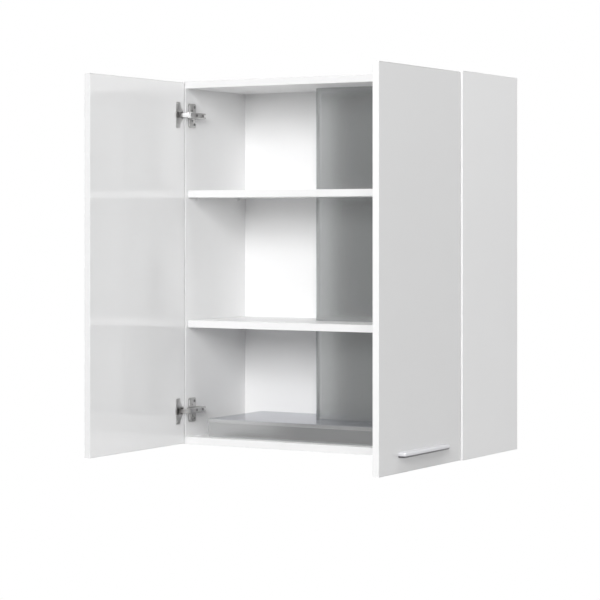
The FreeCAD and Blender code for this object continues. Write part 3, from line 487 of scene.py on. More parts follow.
sheetSteel = {"metallic": 0.8, "depth": 0.0000004, "wear": 0.012}
satinBar = {"scale": 1500, "depth": 0.00001, "brush": (1, 0.02, 1)}
finishes.update(
    white_board=boardFinish(), gloss_front=glossFinish(), raw_wood=woodFinish(), lamp_lens=lensFinish(),
    backSheet=backFinish(), edgeBand=bandFinish(),
    grey_steel=metalFinish("greySteel", pale=(0.498, 0.51, 0.511), dark=(0.488, 0.5, 0.501), rough=0.21,
                           scale=160, brush=(1, 1, 0.02), **sheetSteel),
    caseSteel=metalFinish("caseSteel", pale=(0.583, 0.588, 0.59), dark=(0.45, 0.455, 0.457), rough=0.21,
                          scale=170, brush=(0.01, 1, 1), **sheetSteel),
    # the lid's lip colour is painted light on one sheet
    lidSteel=metalFinish("lidSteel", pale=(0.482, 0.492, 0.534), dark=(0.472, 0.482, 0.524), rough=0.25,
                         scale=160, brush=(0.02, 1, 1), lip=(0.62, 0.625, 0.627), **sheetSteel),
    nickel=metalFinish("nickel", pale=(0.62, 0.615, 0.61), dark=(0.54, 0.535, 0.53), rough=0.34,
                       scale=500, depth=0.00002),
    # near-white finish for the upper hinges' link and nose: a painted highlight
    linkMetal=metalFinish("linkMetal", pale=(0.95, 0.95, 0.95), dark=(0.91, 0.91, 0.91), metallic=0.35,
                          rough=0.24, scale=400, depth=0.00001, wear=0.04),
    screwMetal=metalFinish("screwMetal", pale=(0.3, 0.3, 0.295), dark=(0.24, 0.24, 0.235), rough=0.34,
                           scale=500, depth=0.00001),
    handle_metal=metalFinish("handleMetal", pale=(0.7, 0.7, 0.722), dark=(0.675, 0.675, 0.697),
                             metallic=0.4, rough=0.32, **satinBar),
    # dark finish for the handle's lower strip: painted shade
    handleLip=metalFinish("handleLip", pale=(0.2, 0.2, 0.206), dark=(0.17, 0.17, 0.176), rough=0.34,
                          **satinBar),
    filter_metal=metalFinish("filterMetal", pale=(0.7, 0.7, 0.71), dark=(0.6, 0.6, 0.61), rough=0.36,
                             scale=1000, depth=0.00002, brush=(0.05, 1, 1)),
    dark_plastic=plasticFinish("darkPlastic", pale=(0.05, 0.05, 0.053), dark=(0.038, 0.038, 0.04), rough=0.42),
    grey_plastic=plasticFinish("greyPlastic", pale=(0.34, 0.34, 0.35), dark=(0.3, 0.3, 0.31), rough=0.46),
    whitePeg=plasticFinish("whitePeg", pale=(0.8, 0.8, 0.805), dark=(0.76, 0.76, 0.765), rough=0.42))
slotOf = {part["node"]: part["material_slot"] for part in frame["record"]["subparts"]}
for node, shown in nodes.items():
    dress(shown, slotOf[node])
for node, look in (("back_panel", "backSheet"), ("hood_lid", "lidSteel"), ("hood_body", "caseSteel")):
    dress(nodes[node], look)
print("finishes:", len(finishes))


# boards and doors

edging = {"thickness": 1.3, "gap": 0.04, "rim": 0.5}
holes = {"over": 5, "notchHalf": 102, "notchFront": 148, "notchRound": 32, "outlet": 60.3, "outletY": 215,
         "hood": (-300.5, 300.5, 52, 258), "hoodRound": 0.8,
         "cup": 17.5, "cupY": -26.5, "cupDeep": 11.6, "cupOver": 13}
frontEdge, rearSide, lowerEdge, upperEdge = (1, 0), (1, 1), (2, 0), (2, 1)


def hingeHeight(side, level):
    # the middle of the hinge's cup
    low, high = span(f"{side}_{level}_cup")
    return (low[2] + high[2]) / 2


def edged(low, high, bands, core=block):
    # a core and the thin bands glued on it; a band is (axis, end), end 0 low or 1 high
    low, high = low.copy(), high.copy()
    strips = []
    for axis, end in bands:
        stripLow, stripHigh = low.copy(), high.copy()
        if end:
            high[axis] -= edging["thickness"]
            stripLow[axis] = high[axis] + edging["gap"]
        else:
            low[axis] += edging["thickness"]
            stripHigh[axis] = low[axis] - edging["gap"]
        strips.append(block(stripLow, stripHigh))
    return together(core(low, high), *strips)


def shelfCore(low, high):
    # a rectangle with a round-cornered notch for the duct in its rear edge
    half, front = holes["notchHalf"], holes["notchFront"]
    corners = [(low[0], low[1]), (high[0], low[1]), (high[0], high[1]), (half, high[1]), (half, front),
               (-half, front), (-half, high[1]), (low[0], high[1])]
    rounds = [0] * 4 + [holes["notchRound"]] * 2 + [0] * 2
    return plate(softPolygon(corners, rounds, 8), low[2], high[2], 2)


def topCore(low, high):
    # a slab with a round hole for the outlet
    ends = low[2] - holes["over"], high[2] + holes["over"]
    hole = lathe([(holes["outlet"], end) for end in ends], 96, centre=(0, holes["outletY"], 0))
    return carve(block(low, high), hole)


def bottomCore(low, high):
    # a slab with the hood's cut-out, its corners left by the router
    hole = softPolygon(rectangle(*holes["hood"]), holes["hoodRound"], 4)
    return carve(block(low, high), plate(hole, low[2] - holes["over"], high[2] + holes["over"], 2))


def doorCore(side):
    # a slab with two blind cup bores in its inner face
    ends = (-holes["cupOver"], holes["cupDeep"]) if side == "right" else (-holes["cupDeep"], holes["cupOver"])
    profile = [(holes["cup"], end) for end in ends]

    def core(low, high):
        face = low[0] if side == "right" else high[0]
        bores = [lathe(profile, 48, 0, (face, holes["cupY"], hingeHeight(side, level))) for level in levels]
        return carve(block(low, high), together(*bores))
    return core


def bandFront(made):
    # the front strip of a board takes the edge band's finish
    dressPart(made, "edgeBand", lambda x, y, z: y < y.min() + edging["thickness"] / 2)


for side in sides:
    shape = edged(*span(f"{side}_side"), [frontEdge, lowerEdge, upperEdge])
    bandFront(piece(f"{side}_side_board", shape, "carcass", "white_board", [f"{side}_side"], rim=edging["rim"]))
    shape = edged(*span(f"{side}_door"), [frontEdge, rearSide, lowerEdge, upperEdge], doorCore(side))
    piece(f"{side}_door_board", shape, f"{side}_door", "gloss_front", [f"{side}_door"], rim=edging["rim"])
for node, core in (("top_panel", topCore), ("bottom_panel", bottomCore),
                   ("upper_shelf", shelfCore), ("lower_shelf", shelfCore)):
    shape = edged(*span(node), [frontEdge], core)
    bandFront(piece(f"{node}_board", shape, "carcass", "white_board", [node], rim=edging["rim"]))
print("boards and doors made")


# sheets that keep their solids: seams welded and rims rounded by a width

seamReach = 0.00001
hems = {0.5: ("hood_lid",), 0.4: ("hood_body", "filter_frame", "fan_frame"),
        0.25: ("front_flap", "rear_flap", "left_hanger", "right_hanger", "hanging_rail", "back_panel")}
for width, hemmed in hems.items():
    for node in hemmed:
        seam = nodes[node].modifiers.new("seam", "WELD")
        seam.merge_threshold = seamReach
        soften(nodes[node], width)

duct = {"plan": (-100, 100, 150, 280), "round": 30, "wall": 1.5, "low": 64, "high": 898, "soft": 0.4}


def ductShape():
    # a round-cornered tube: outer and inner walls with turned rims
    outer = softPolygon(rectangle(*duct["plan"]), duct["round"], 12)
    middle, inner = inset(outer, duct["wall"] / 2), inset(outer, duct["wall"])
    low, high, soft = duct["low"], duct["high"], duct["soft"]
    rings = [(inner, low + soft), (middle, low), (outer, low + soft),
             (outer, high - soft), (middle, high), (inner, high - soft)]
    return loft([standing(ring, height, 2) for ring, height in rings], closeRows=True)


piece("duct_tube", ductShape(), "carcass", "grey_steel", ["duct"], sharp=40)
print("sheets and duct made")


# hinges, drawn for the right side with z = 0 at the hinge's height

hinge = {"doorFace": 382, "flangeTop": 380.8, "nose": (365.2, -10), "noseEnd": 2.5, "eye": (387.76, -15.6)}
screw = {"radius": 3.6, "thick": 1.1, "crown": ((1, 0), (1, 0.45), (0.93, 0.78), (0.80, 0.95)),
         "sink": ((1.04, 1), (1, 0.94), (0.7, 0.2)), "crossWidth": 0.30, "crossReach": 0.62}


def crossScrew(radius, thick, axis, centre, way):
    # a low crowned head that faces along its axis, with a tapered cross sunk into it
    arm, far = screw["crossWidth"] * radius / 2, screw["crossReach"] * radius
    quarter, turn = np.array([(arm, -far), (arm, -arm), (far, -arm)]), np.array([(0, 1), (-1, 0)])
    cross = np.concatenate([quarter @ np.linalg.matrix_power(turn, count) for count in range(4)])
    angles = cornerAngles(28, cross)
    edge, rim = reach(cross, np.zeros(2), angles), np.full(len(angles), radius)
    lines = (rim, screw["crown"]), (edge, screw["sink"])
    rows = [(line * out, up) for line, steps in lines for out, up in steps]
    return moved(loft([standing(ray(line, angles), way * up * thick, axis) for line, up in rows]), *centre)


cup = {"radius": 17.4, "deep": 11.4, "middle": (-33, 0), "mouthRadius": 16.75, "mouthHalf": 8,
       "mouthDeep": 10.75, "lip": 1.1, "rounds": (2.5, 2, 2, 3),
       "ears": ((-42, 32.5), (-25, 32.5), (-24.4, 24), (-14, 11))}


def cupShape():
    # a pressed cup: round pan in the bore, a bar flange that tapers to the carcass, a long mouth for the arm
    middle, bore = np.array(cup["middle"]), np.array([holes["cupY"], 0])
    wall = ray(cup["radius"], np.linspace(-math.pi, math.pi, 72, endpoint=False), bore)
    half = np.array(cup["ears"])
    ears = softPolygon(np.concatenate([half * (1, -1), half[::-1]]), cup["rounds"] + cup["rounds"][::-1])
    opening = math.asin(cup["mouthHalf"] / cup["mouthRadius"])
    near = ray(cup["mouthRadius"], np.linspace(-opening, opening, 11))
    mouth = bore + np.concatenate([near, -near])
    angles = cornerAngles(90, ears - middle, mouth - middle)
    pan, ear, gap = (reach(outline, middle, angles) for outline in (wall, ears, mouth))
    rim = np.maximum(ear, pan)
    lip = np.minimum(gap + cup["lip"], rim - 0.45)
    face, top = hinge["doorFace"], hinge["flangeTop"]
    back, floor = face + cup["deep"], face + cup["mouthDeep"]
    # from the pan's back, over the flange's rim, into the mouth
    rows = [(pan - 0.8, back), (pan - 0.1, back - 0.7), (pan - 0.1, face + 0.05),
            (rim, face), (rim, top + 0.35), (rim - 0.12, top + 0.1), (rim - 0.4, top),
            (lip, top), (gap + 0.25, top + 0.15), (gap, top + 0.6),
            (gap, floor - 0.55), (gap - 0.3, floor - 0.15), (gap - 0.9, floor)]
    return loft([standing(ray(line, angles, middle), x, 0) for line, x in rows])


# stations are (y, half width, top); hollows are (y from, y to, half width, floor)
arm = {"low": 373, "rounds": (0.2, 0.2, 1.8, 1.8), "above": 360,
       "stations": ((-6.8, 6.4, 365.6), (-6.2, 7, 364.4), (-4.6, 7.3, 363.4), (-2, 7.3, 363),
                    (8, 7.3, 363), (48, 7.3, 363), (53, 6.9, 363.3), (64.5, 6.9, 363.8),
                    (67, 6.4, 364.4), (68, 5.6, 365.4)),
       "hollows": ((9, 17, 4.2, 364.2), (31, 49, 4.6, 364), (54.5, 80, 3, 372)),
       "hollowRound": 0.9,
       "cheek": ((363.2, -12), (367.2, -12), (371.5, 3), (371.5, 10), (363.2, 10)),
       "cheekRounds": (1.8, 1.8, 2, 0.3, 0.3), "cheekEnds": ((5.3, 7.3), (-7.3, -5.3)), "cheekRim": 0.25}


def armShape():
    # a channel with a forked rear end and a dished top, and two nose cheeks that carry the link's pin
    low = arm["low"]
    rings = []
    for y, half, top in arm["stations"]:
        corners = [(low, -half), (low, half), (top, half), (top, -half)]
        rings.append(standing(softPolygon(corners, arm["rounds"], 6), y, 1))
    cuts = []
    for y0, y1, half, floor in arm["hollows"]:
        outline = softPolygon(rectangle(y0, y1, -half, half), half * arm["hollowRound"], 6)
        cuts.append(plate(outline, arm["above"], floor, 0))
    cheek = softPolygon(arm["cheek"], arm["cheekRounds"], 6)
    cheeks = [plate(cheek, *ends, 2, arm["cheekRim"]) for ends in arm["cheekEnds"]]
    return together(carve(loft(rings), together(*cuts)), *cheeks)


mount = {"wings": (12, 44, -30.5, 30.5), "wingRound": 5, "wingX": (379, 382), "wingRim": 0.6,
         "slots": ((14.4, 20.6, 9.6, 26.4), (25, 29.6, 10.4, 15.6)), "slotRound": 0.48, "slotX": (377, 384),
         "stepX": (377, 380.9), "stepY": (8, 22.4), "stepZ": (8.8, 28.4),
         "ridge": (8, 62, -7.3, 7.3), "ridgeRound": 2.2, "ridgeX": (373, 381.95), "ridgeRim": 0.5}


def plateShape():
    # a winged mounting plate: ears with a stepped front and adjusting slots, and a ridge under the arm
    outline = softPolygon(rectangle(*mount["wings"]), mount["wingRound"], 7)
    wings = plate(outline, *mount["wingX"], 0, mount["wingRim"])
    steps, slots = [], []
    for way in (-1, 1):
        stepZ = sorted(way * z for z in mount["stepZ"])
        steps.append(block(*np.transpose([mount["stepX"], mount["stepY"], stepZ])))
        for y0, y1, *ends in mount["slots"]:
            outline = rectangle(y0, y1, *sorted(way * z for z in ends))
            slots.append(plate(softPolygon(outline, (y1 - y0) * mount["slotRound"], 7), *mount["slotX"], 0))
    ridge = softPolygon(rectangle(*mount["ridge"]), mount["ridgeRound"], 6)
    return together(carve(carve(wings, together(*steps)), together(*slots)),
                    plate(ridge, *mount["ridgeX"], 0, mount["ridgeRim"]))


link = {"halfThick": 1.5, "past": 1.2, "round": 1.45, "ends": (-5, 5), "rim": 0.35,
        "roll": ((1.4, -5), (2.2, -4.6), (2.2, 4.6), (1.4, 5)),
        "pin": ((0.7, -10), (1, -9.7), (1, 9.7), (0.7, 10)),
        "rivet": ((0.9, -7.35), (1.2, -7.1), (1.2, 7.1), (0.9, 7.35))}


def linkShape():
    # a flat bar from the nose pin to the cup pin, with a rolled eye on the nose and a seam at the cup's mouth
    nose, eye = np.array(hinge["nose"]), np.array(hinge["eye"])
    along = (eye - nose) / np.linalg.norm(eye - nose)
    across = np.array([-along[1], along[0]]) * link["halfThick"]
    start, end = nose - along * link["past"], eye + along * link["past"]
    mouth = nose + along * (hinge["flangeTop"] - nose[0]) / along[0]
    steps = 6
    bar = softPolygon([start - across, end - across, end + across, start + across], link["round"], steps)
    bar = np.insert(bar, (steps, 3 * steps), (mouth - across, mouth + across), axis=0)
    return together(plate(bar, *link["ends"], 2, link["rim"]), lathe(link["roll"], 24, centre=(*nose, 0)),
                    lathe(link["pin"], 16, centre=(*eye, 0)))


spots = {"cup": ((hinge["flangeTop"], -36.5, -26), (hinge["flangeTop"], -36.5, 26)),
         "plate": ((379, 37, -22), (379, 37, 22)), "arm": ((363, 24, 0), (363, 51.5, 0))}
heads = {part: together(*[crossScrew(screw["radius"], screw["thick"], 0, spot, -1) for spot in places])
         for part, places in spots.items()}
hingeShapes = {"cup": cupShape(), "arm": armShape(), "plate": plateShape(), "link": linkShape()}
# faces of the link and the arm's nose that take the near-white finish: a painted highlight
highlightFaces = {"link": lambda x, y, z: abs(x) < hinge["flangeTop"],
               "arm": lambda x, y, z: y < hinge["noseEnd"]}
shared = {"arm_pins": lathe(link["rivet"], 20, centre=(*hinge["nose"], 0)),
          "arm_screws": heads["arm"], "plate_screws": heads["plate"]}
gathered = {node: [] for node in shared}
for side in sides:
    turned = mirrored if side == "left" else moved
    bodies = {"cup": f"{side}_door", "arm": "carcass", "plate": "carcass", "link": f"{side}_links"}
    doorHeads = []
    for level in levels:
        height = hingeHeight(side, level)
        for part, shape in hingeShapes.items():
            node = f"{side}_{level}_{part}"
            shape = moved(turned(shape), z=height)
            made = piece(f"{node}_pressing", shape, bodies[part], "nickel", [node], sharp=38)
            # only the upper hinges get the near-white finish, a painted highlight
            if level == "upper" and part in highlightFaces:
                dressPart(made, "linkMetal", highlightFaces[part])
        doorHeads.append(moved(turned(heads["cup"]), z=height))
        for node, shape in shared.items():
            gathered[node].append(moved(turned(shape), z=height))
    piece(f"{side}_cup_screw_heads", together(*doorHeads), f"{side}_door", "nickel", [f"{side}_cup_screws"])
for node, shapes in gathered.items():
    made = piece(f"{node}_heads", together(*shapes), "carcass", "nickel", [node])
    if node != "arm_pins":
        dress(made, "screwMetal")
print("hinges made")


# handles: a channel bar open below, its front corners rounded in plan

grip = {"length": 220, "middle": -204.5, "doorFace": 398, "front": 417, "low": 36.5, "high": 48.5,
        "bend": 5.2, "topRound": 5, "lip": 3, "back": 2.5, "end": 11, "ceiling": 45.5, "cove": 0.8,
        "chin": 4, "tuck": 2.4, "crisp": 0.3, "hollowRound": 3, "darkEnd": 7}


def handleShape():
    # plan outlines in turn: the hollow's ceiling and wall, the rim below, the outside, the rounded top
    y0, y1 = grip["middle"] - grip["length"] / 2, grip["middle"] + grip["length"] / 2
    crisp, cove, tuck = grip["crisp"], grip["cove"], grip["tuck"]

    def outside(step, height):
        # the bar's plan, stepped in
        corners = rectangle(grip["doorFace"], grip["front"] - step, y0 + step, y1 - step)
        bend = grip["bend"] - step
        return standing(softPolygon(corners, [crisp, bend, bend, crisp], 9), height, 2)

    def hollow(step, height):
        # the hollow's plan, stepped out
        corners = rectangle(grip["doorFace"] + grip["back"] - step, grip["front"] - grip["lip"] + step,
                            y0 + grip["end"] - step, y1 - grip["end"] + step)
        bend = grip["hollowRound"]
        return standing(softPolygon(corners, [crisp, bend, bend, crisp], 9), height, 2)

    turn = np.linspace(0, math.pi / 2, 9)
    rounds = zip(grip["topRound"] * (1 - np.cos(turn)), grip["high"] - grip["topRound"] * (1 - np.sin(turn)))
    ceiling, foot, chin = grip["ceiling"], grip["low"], grip["low"] + grip["chin"]
    rings = [hollow(-cove, ceiling), hollow(0, ceiling - cove), hollow(0, foot + crisp), hollow(crisp, foot),
             outside(tuck + 0.2, foot), outside(tuck, foot + 0.2), outside(0.25, chin - 0.1),
             outside(0, chin + crisp)]
    return loft(rings + [outside(step, height) for step, height in rounds])


def shadedUnderLip(x, y, z):
    # the rim's lower strip, round the front and the ends, which takes a dark finish: painted shade
    ends = abs(y - grip["middle"]) > grip["length"] / 2 - grip["darkEnd"]
    return (z < grip["low"] + grip["chin"]) & ((abs(x) > grip["front"] - grip["lip"]) | ends)


bar = handleShape()
for side in sides:
    shape = mirrored(bar) if side == "left" else bar
    made = piece(f"{side}_handle_bar", shape, f"{side}_door", "handle_metal", [f"{side}_handle"], sharp=35)
    # the rim's lower strip painted dark: painted shade under the handle's front
    dressPart(made, "handleLip", shadedUnderLip)
print("handles made")


# small fittings of the carcass

peg = {"radius": 2.5, "inner": 373, "outer": 391, "dome": 1.2, "end": 0.6, "groove": (380.4, 381.9),
       "grooveDeep": 0.4, "rows": (48, 244)}


def shelfPin(y, z):
    # a peg with a domed end and a turned groove where it leaves the side
    radius, inner, outer, deep = peg["radius"], peg["inner"], peg["outer"], peg["grooveDeep"]
    start, stop = peg["groove"]
    profile = [(0, inner), (radius * 0.7, inner + 0.25), (radius, inner + peg["dome"]),
               (radius, start), (radius - deep, start + deep), (radius - deep, stop - deep), (radius, stop),
               (radius, outer - peg["end"]), (radius - peg["end"], outer)]
    return lathe(profile, 24, 0, (0, y, z))


pins = [shelfPin(y, span(f"{level}_shelf")[0][2] - peg["radius"]) for level in levels for y in peg["rows"]]
pins += [mirrored(one) for one in pins]
dress(piece("shelf_pegs", together(*pins), "carcass", "nickel", ["shelf_pins"]), "whitePeg")

hanger = {"radius": 3.7, "thick": 1, "across": 300, "spread": 20, "height": 858, "seat": 301}
offsets = (-hanger["spread"], hanger["spread"])
hangerHeads = [crossScrew(hanger["radius"], hanger["thick"], 1,
                          (way * hanger["across"] + dx, hanger["seat"], hanger["height"] + dz), 1)
               for way in (-1, 1) for dx in offsets for dz in offsets]
piece("hanger_screw_heads", together(*hangerHeads), "carcass", "nickel", ["hanger_screws"])
print("small fittings made")


# underside of the hood: filter, lamps and push buttons

strand = {"half": 161, "front": 110.5, "rear": 237, "margin": 0.5, "swing": 2.6, "step": 5, "wide": 1,
          "thick": 0.7, "layers": (5.3, 7.4), "weave": 0.06}


def meshShape():
    # expanded metal: strands that swing to and fro in turn, so that neighbours meet in diamonds
    wide, thick, swing = strand["wide"] / 2, strand["thick"] / 2, strand["swing"]
    section = standing(rectangle(-wide, wide, -thick, thick), 0, 0)
    x = np.arange(-strand["half"], strand["half"] + 0.1, strand["step"])
    zigzag = np.where(np.arange(len(x)) % 2, 1, -1) * swing
    rows = np.arange(strand["front"] + swing + strand["margin"], strand["rear"] - swing, swing * 2)
    strands = []
    for layer, z in enumerate(strand["layers"]):
        for count, y in enumerate(rows):
            way = 1 if (count + layer) % 2 else -1
            path = np.stack([x, y + way * zigzag, np.full(len(x), z + way * strand["weave"])], 1)
            strands.append(loft(path[:, None] + section[None]))
    return together(*strands)


tab = {"plan": (-20, 20, 100.5, 107.5), "round": 2.5, "ends": (0.95, 2), "rim": 0.3, "ribHalf": (17, 0.4),
       "ribRound": 0.38, "ribEnds": (0.4, 1.1), "ribRim": 0.25, "ribs": (101.8, 106.2, 5)}


def tabShape():
    # a thin finger tab with five raised ribs
    flat = plate(softPolygon(rectangle(*tab["plan"]), tab["round"], 6), *tab["ends"], 2, tab["rim"])
    long, wide = tab["ribHalf"]
    ribs = []
    for y in np.linspace(*tab["ribs"]):
        outline = softPolygon(rectangle(-long, long, y - wide, y + wide), tab["ribRound"])
        ribs.append(plate(outline, *tab["ribEnds"], 2, tab["ribRim"]))
    return together(flat, *ribs)


piece("filter_strands", meshShape(), "filter", "filter_metal", ["filter_mesh"], sharp=50)
piece("filter_finger_tab", tabShape(), "filter", "dark_plastic", ["filter_grip"])

lampSize = {"x": 238, "y": 175, "lens": 31, "rings": 11, "ridge": 1.35, "furrow": 1.75, "top": 10.6,
            "bezel": 35}


def lensShape():
    # a cover pressed with concentric prisms, thick at the rim
    radius, top = lampSize["lens"], lampSize["top"]
    radii = np.linspace(0, radius - 1.5, lampSize["rings"] * 2 + 1)
    face = [(one, lampSize["ridge" if count % 2 else "furrow"]) for count, one in enumerate(radii)]
    return lathe(face + [(radius - 0.5, 1.5), (radius, 2), (radius, top), (0, top)], 64)


def bezelShape():
    # a turned ring with a crowned front
    inner, outer = lampSize["lens"] + 0.1, lampSize["bezel"]
    return lathe([(inner, 2), (inner, 1.5), (inner + 0.5, 1), (inner + 1.6, 0.8),
                  (outer - 1, 1), (outer - 0.3, 1.4), (outer, 2)], 64, closeRows=True)


for side, way in zip(sides, (-1, 1)):
    centre = {"x": way * lampSize["x"], "y": lampSize["y"]}
    piece(f"{side}_lamp_lens", moved(lensShape(), **centre), "carcass", "lamp_lens", [f"{side}_lamp"], sharp=25)
    piece(f"{side}_lamp_bezel", moved(bezelShape(), **centre), "carcass", "nickel")

# rows are (step inwards, height)
button = {"key": (-7.5, 7.5, -4.5, 4.5), "round": 2, "lip": (-9, 9, -6, 6), "lipRound": 1.5,
          "lipEnds": (11.2, 13), "lipRim": 0.3, "count": 4,
          "rows": ((0, 12), (0, 1.3), (0.12, 0.85), (0.4, 0.52), (0.8, 0.4), (1.5, 0.55),
                   (2.4, 0.9), (3.4, 1.1))}


def buttonShape():
    # a round-cornered key with a finger hollow below and a keeping lip above
    key = softPolygon(rectangle(*button["key"]), button["round"], 7)
    lip = softPolygon(rectangle(*button["lip"]), button["lipRound"], 5)
    return together(loft([standing(inset(key, step), z, 2) for step, z in button["rows"]]),
                    plate(lip, *button["lipEnds"], 2, button["lipRim"]))


for count in range(1, button["count"] + 1):
    node = f"button_{count}"
    low, high = span(node)
    piece(f"{node}_key", moved(buttonShape(), *(low + high)[:2] / 2), node, "dark_plastic", [node])
print("underside made")


# cable gland, outlet and fan; profiles are (radius, height)

fanMiddle = (0, 215, 0)
gland = {"place": (250, 240, 0),
         "hexagon": ((4, 64), (8.6, 64), (9, 64.5), (9, 68.5), (8.5, 69), (4, 69)),
         "dome": ((4, 69.02), (8, 69.02), (8, 73), (7.6, 74.8), (6.6, 76.6), (5.2, 77.7),
                  (4.4, 78), (4, 77.6))}


def glandShape():
    # a chamfered hexagon under a domed nut with a bore
    return together(lathe(gland["hexagon"], 6, closeRows=True), lathe(gland["dome"], 40, closeRows=True))


outlet = {"ring": ((60, 898), (60, 916), (66, 916), (66, 917.1), (65.6, 917.5), (61, 917.5),
                   (60.2, 918), (60, 918.8), (60, 919.6), (60.6, 920.1), (60.9, 920.8), (60.6, 921.5),
                   (60, 922), (60, 925.4), (59.5, 926), (58.9, 926), (58.5, 925.5), (58.5, 913.5),
                   (54.5, 913.5), (54.5, 912), (58.5, 912), (58.5, 898)),
          "pin": ((1.1, -59.2), (1.5, -58.8), (1.5, 58.8), (1.1, 59.2)), "pinHeight": 914.4}


def outletShape():
    # a spigot with a bead, a flange on the top board, a ledge for the flaps and their cross pin
    pin = lathe(outlet["pin"], 20, 0, (0, 0, outlet["pinHeight"]))
    return together(lathe(outlet["ring"], 96, closeRows=True), pin)


motor = {"shaft": ((0, 113), (4, 113), (4, 144)),
         "front": ((24, 144), (27.4, 145), (28, 146), (28, 151)),
         "rear": ((28, 190), (28, 196), (26.5, 198), (16, 199), (15, 202), (0, 202)),
         "radius": 28, "groove": 1.2, "grooveLow": 152, "grooveStep": 1.5, "steps": 24}


def motorShape():
    # a can with cooling grooves, two steps out and two in, and a stepped end bell over its shaft
    grooves = [(motor["radius"] - (motor["groove"] if count % 4 in (1, 2) else 0),
                motor["grooveLow"] + motor["grooveStep"] * count) for count in range(motor["steps"])]
    return lathe([*motor["shaft"], *motor["front"], *grooves, *motor["rear"]], 56)


fan = {"blades": 7, "root": 20.5, "tip": 55, "chordRoot": 20, "chordTip": 29, "pitchRoot": 46,
       "pitchTip": 30, "thick": 2.2, "camber": 1.5, "halfHigh": 11.6, "least": 4,
       "hub": 22, "low": 113, "high": 137, "bore": 4.4}


def impellerShape():
    # a domed hub and blades whose chord widens and pitch eases from root to tip
    bore, rim, low, high = fan["bore"], fan["hub"], fan["low"], fan["high"]
    hub = lathe([(bore, low), (rim - 1, low), (rim, low + 1), (rim, high - 6), (rim - 2.5, high - 2),
                 (rim - 7, high), (bore, high)], 56, closeRows=True)
    share = np.linspace(0, 1, 12)[:, None]
    turn = np.linspace(0, 2 * math.pi, 20, endpoint=False)[None]
    radius = fan["root"] + share * (fan["tip"] - fan["root"])
    chord = fan["chordRoot"] + share * (fan["chordTip"] - fan["chordRoot"])
    pitch = np.radians(fan["pitchRoot"] + share * (fan["pitchTip"] - fan["pitchRoot"]))
    along = chord / 2 * np.cos(turn)
    lift = fan["thick"] / 2 * np.sin(turn) + fan["camber"] * (np.cos(turn) ** 2 - 0.5)
    across, up = along * np.cos(pitch) - lift * np.sin(pitch), along * np.sin(pitch) + lift * np.cos(pitch)
    up = np.clip(up, -fan["halfHigh"], fan["halfHigh"]) + (low + high) / 2
    leaf = np.stack([np.sqrt(np.maximum(radius ** 2 - across ** 2 * share, fan["least"])), across, up], -1)
    blades = []
    for angle in np.arange(fan["blades"]) * 2 * math.pi / fan["blades"]:
        cos, sin = math.cos(angle), math.sin(angle)
        blades.append(loft(leaf @ np.array([[cos, sin, 0], [-sin, cos, 0], [0, 0, 1]])))
    return together(hub, *blades)


piece("cable_gland_nut", moved(glandShape(), *gland["place"]), "carcass", "dark_plastic", ["cable_gland"],
      sharp=28)
piece("outlet_spigot", moved(outletShape(), *fanMiddle), "carcass", slotOf["outlet_collar"], ["outlet_collar"])
piece("motor_can", moved(motorShape(), *fanMiddle), "carcass", slotOf["motor"], ["motor"])
piece("impeller_wheel", moved(impellerShape(), *fanMiddle), "impeller", slotOf["impeller"], ["impeller"],
      sharp=50)
print("gland, outlet and fan made")


# camera and studio

shot = {"place": (2.661327, -4.816763, -0.300607), "turn": 29.5998, "lens": 128.892,
        "shift": (-0.08348, -0.12785), "far": 200}
camera = placed("camera", bpy.data.cameras.new("camera"))
camera.location = shot["place"]
camera.rotation_euler = (math.radians(90), 0, math.radians(shot["turn"]))
camera.data.lens = shot["lens"]
camera.data.shift_x, camera.data.shift_y = shot["shift"]
camera.data.clip_end = shot["far"]
bpy.context.scene.camera = camera

# lamps are (place, size, power in W); only the mirrored ones show in reflections
studio = {"fill": 0.15, "floor": -2.36, "floorHalf": 30.0, "floorTone": 0.80, "near": 2.0, "far": 5.0,
          "card": {"tone": 0.23, "far": 7.0, "from": -60.0, "to": 2.0, "low": -2.3, "high": 5.0, "steps": 24},
          "aim": (0.0, -0.15, -0.4), "mirrored": ("frontHigh", "steep"),
          "lamps": {"front": ((1.621, -5.139, 1.254), (3.2, 2.2), 220),
                    "frontHigh": ((1.528, -4.851, 2.011), (3.2, 2.2), 50),
                    "right": ((3.381, 0.756, -0.4), (2.0, 2.0), 13),
                    "steep": ((1.197, -0.15, 2.889), (2.0, 2.0), 64),
                    "rear": ((-1.84, 4.905, 0.744), (3.0, 3.0), 90),
                    "left": ((-4.445, 0.475, -0.086), (2.5, 2.5), 62)}}


def glow(paint, kind, strength):
    # white light from the world or a surface
    return paint.node(kind, None, {"Color": (1, 1, 1, 1), "Strength": strength})


def seenRays(paint):
    # 1 for what the camera or a shiny or clear surface sees, 0 for light that spreads
    path = paint.node("ShaderNodeLightPath").socket.node
    kinds = ("Camera", "Glossy", "Transmission")
    eye, shiny, clear = (Wire(paint, path.outputs[f"Is {kind} Ray"]) for kind in kinds)
    return eye.math("MAXIMUM", shiny).math("MAXIMUM", clear)


world = bpy.data.worlds.new("studioAir")
bpy.context.scene.world = world
world.use_nodes = True
air = Paint(world.node_tree)
spread, plain = (glow(air, "ShaderNodeBackground", strength) for strength in (studio["fill"], 1.0))
air.close(air.mixed(seenRays(air), spread, plain), "ShaderNodeOutputWorld")


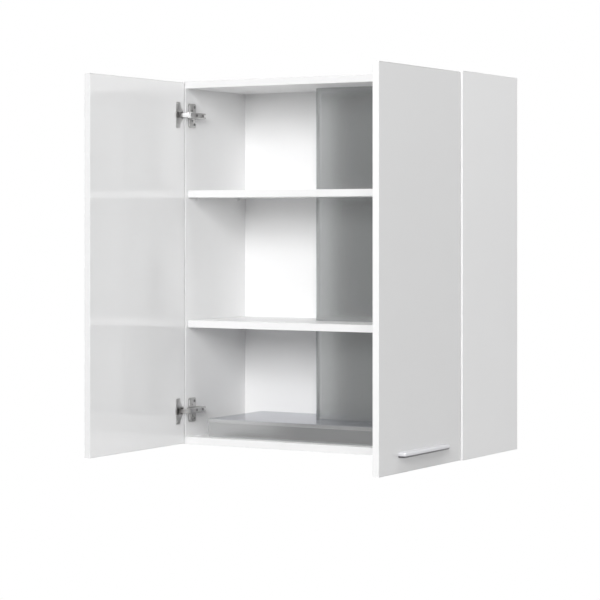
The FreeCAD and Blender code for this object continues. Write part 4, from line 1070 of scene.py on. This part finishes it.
def floorFinish():
    # matt near the cabinet, where its shadow lies, running out into plain white
    made, paint = material("studioFloor")
    x, y, _ = paint.axes()
    away = (x * x + y * y).math("SQRT").fade(studio["near"], studio["far"])
    matt = paint.node("ShaderNodeBsdfDiffuse", None, {"Color": (*[studio["floorTone"]] * 3, 1)})
    shown = paint.mixed(away * seenRays(paint), matt, glow(paint, "ShaderNodeEmission", 1.0))
    # clear from below, so the underside can be looked at
    below = paint.node("ShaderNodeNewGeometry", out="Backfacing")
    paint.close(paint.mixed(below, shown, paint.node("ShaderNodeBsdfTransparent")))
    return made


def screen(name, points, faces, finish):
    # a plain studio surface, drawn in m
    mesh = bpy.data.meshes.new(name)
    mesh.from_pydata(points.tolist(), [], faces.tolist())
    mesh.materials.append(finish)
    return placed(name, mesh)


half = studio["floorHalf"]
floorPlan = standing(rectangle(-half, half, -half, half), studio["floor"], 2)
floor = screen("floor", floorPlan, np.arange(4)[None], floorFinish())

# a curved grey card to the left of the camera, seen only in reflections
card = studio["card"]
sweep = np.radians(np.linspace(card["from"], card["to"], card["steps"]))
arc = card["far"] * np.stack([np.sin(sweep), -np.cos(sweep)], 1)
edges = [standing(arc, height, 2) for height in (card["low"], card["high"])]
cardPoints, cardFaces = loft(edges, closeCols=False)
cardFinish, paint = material("greyCard")
paint.close(glow(paint, "ShaderNodeEmission", card["tone"]))
greyCard = screen("greyCard", cardPoints, cardFaces[0], cardFinish)
for kind in ("camera", "diffuse", "transmission", "volume_scatter", "shadow"):
    setattr(greyCard, f"visible_{kind}", False)

for name, (place, size, power) in studio["lamps"].items():
    lamp = bpy.data.lights.new(name, "AREA")
    lamp.shape, lamp.size, lamp.size_y, lamp.energy = "RECTANGLE", *size, power
    shown = placed(name, lamp)
    shown.location = place
    shown.rotation_euler = (Vector(studio["aim"]) - Vector(place)).to_track_quat("-Z", "Y").to_euler()
    shown.visible_camera = False
    shown.visible_glossy = name in studio["mirrored"]

bpy.context.scene.view_settings.view_transform = "Standard"
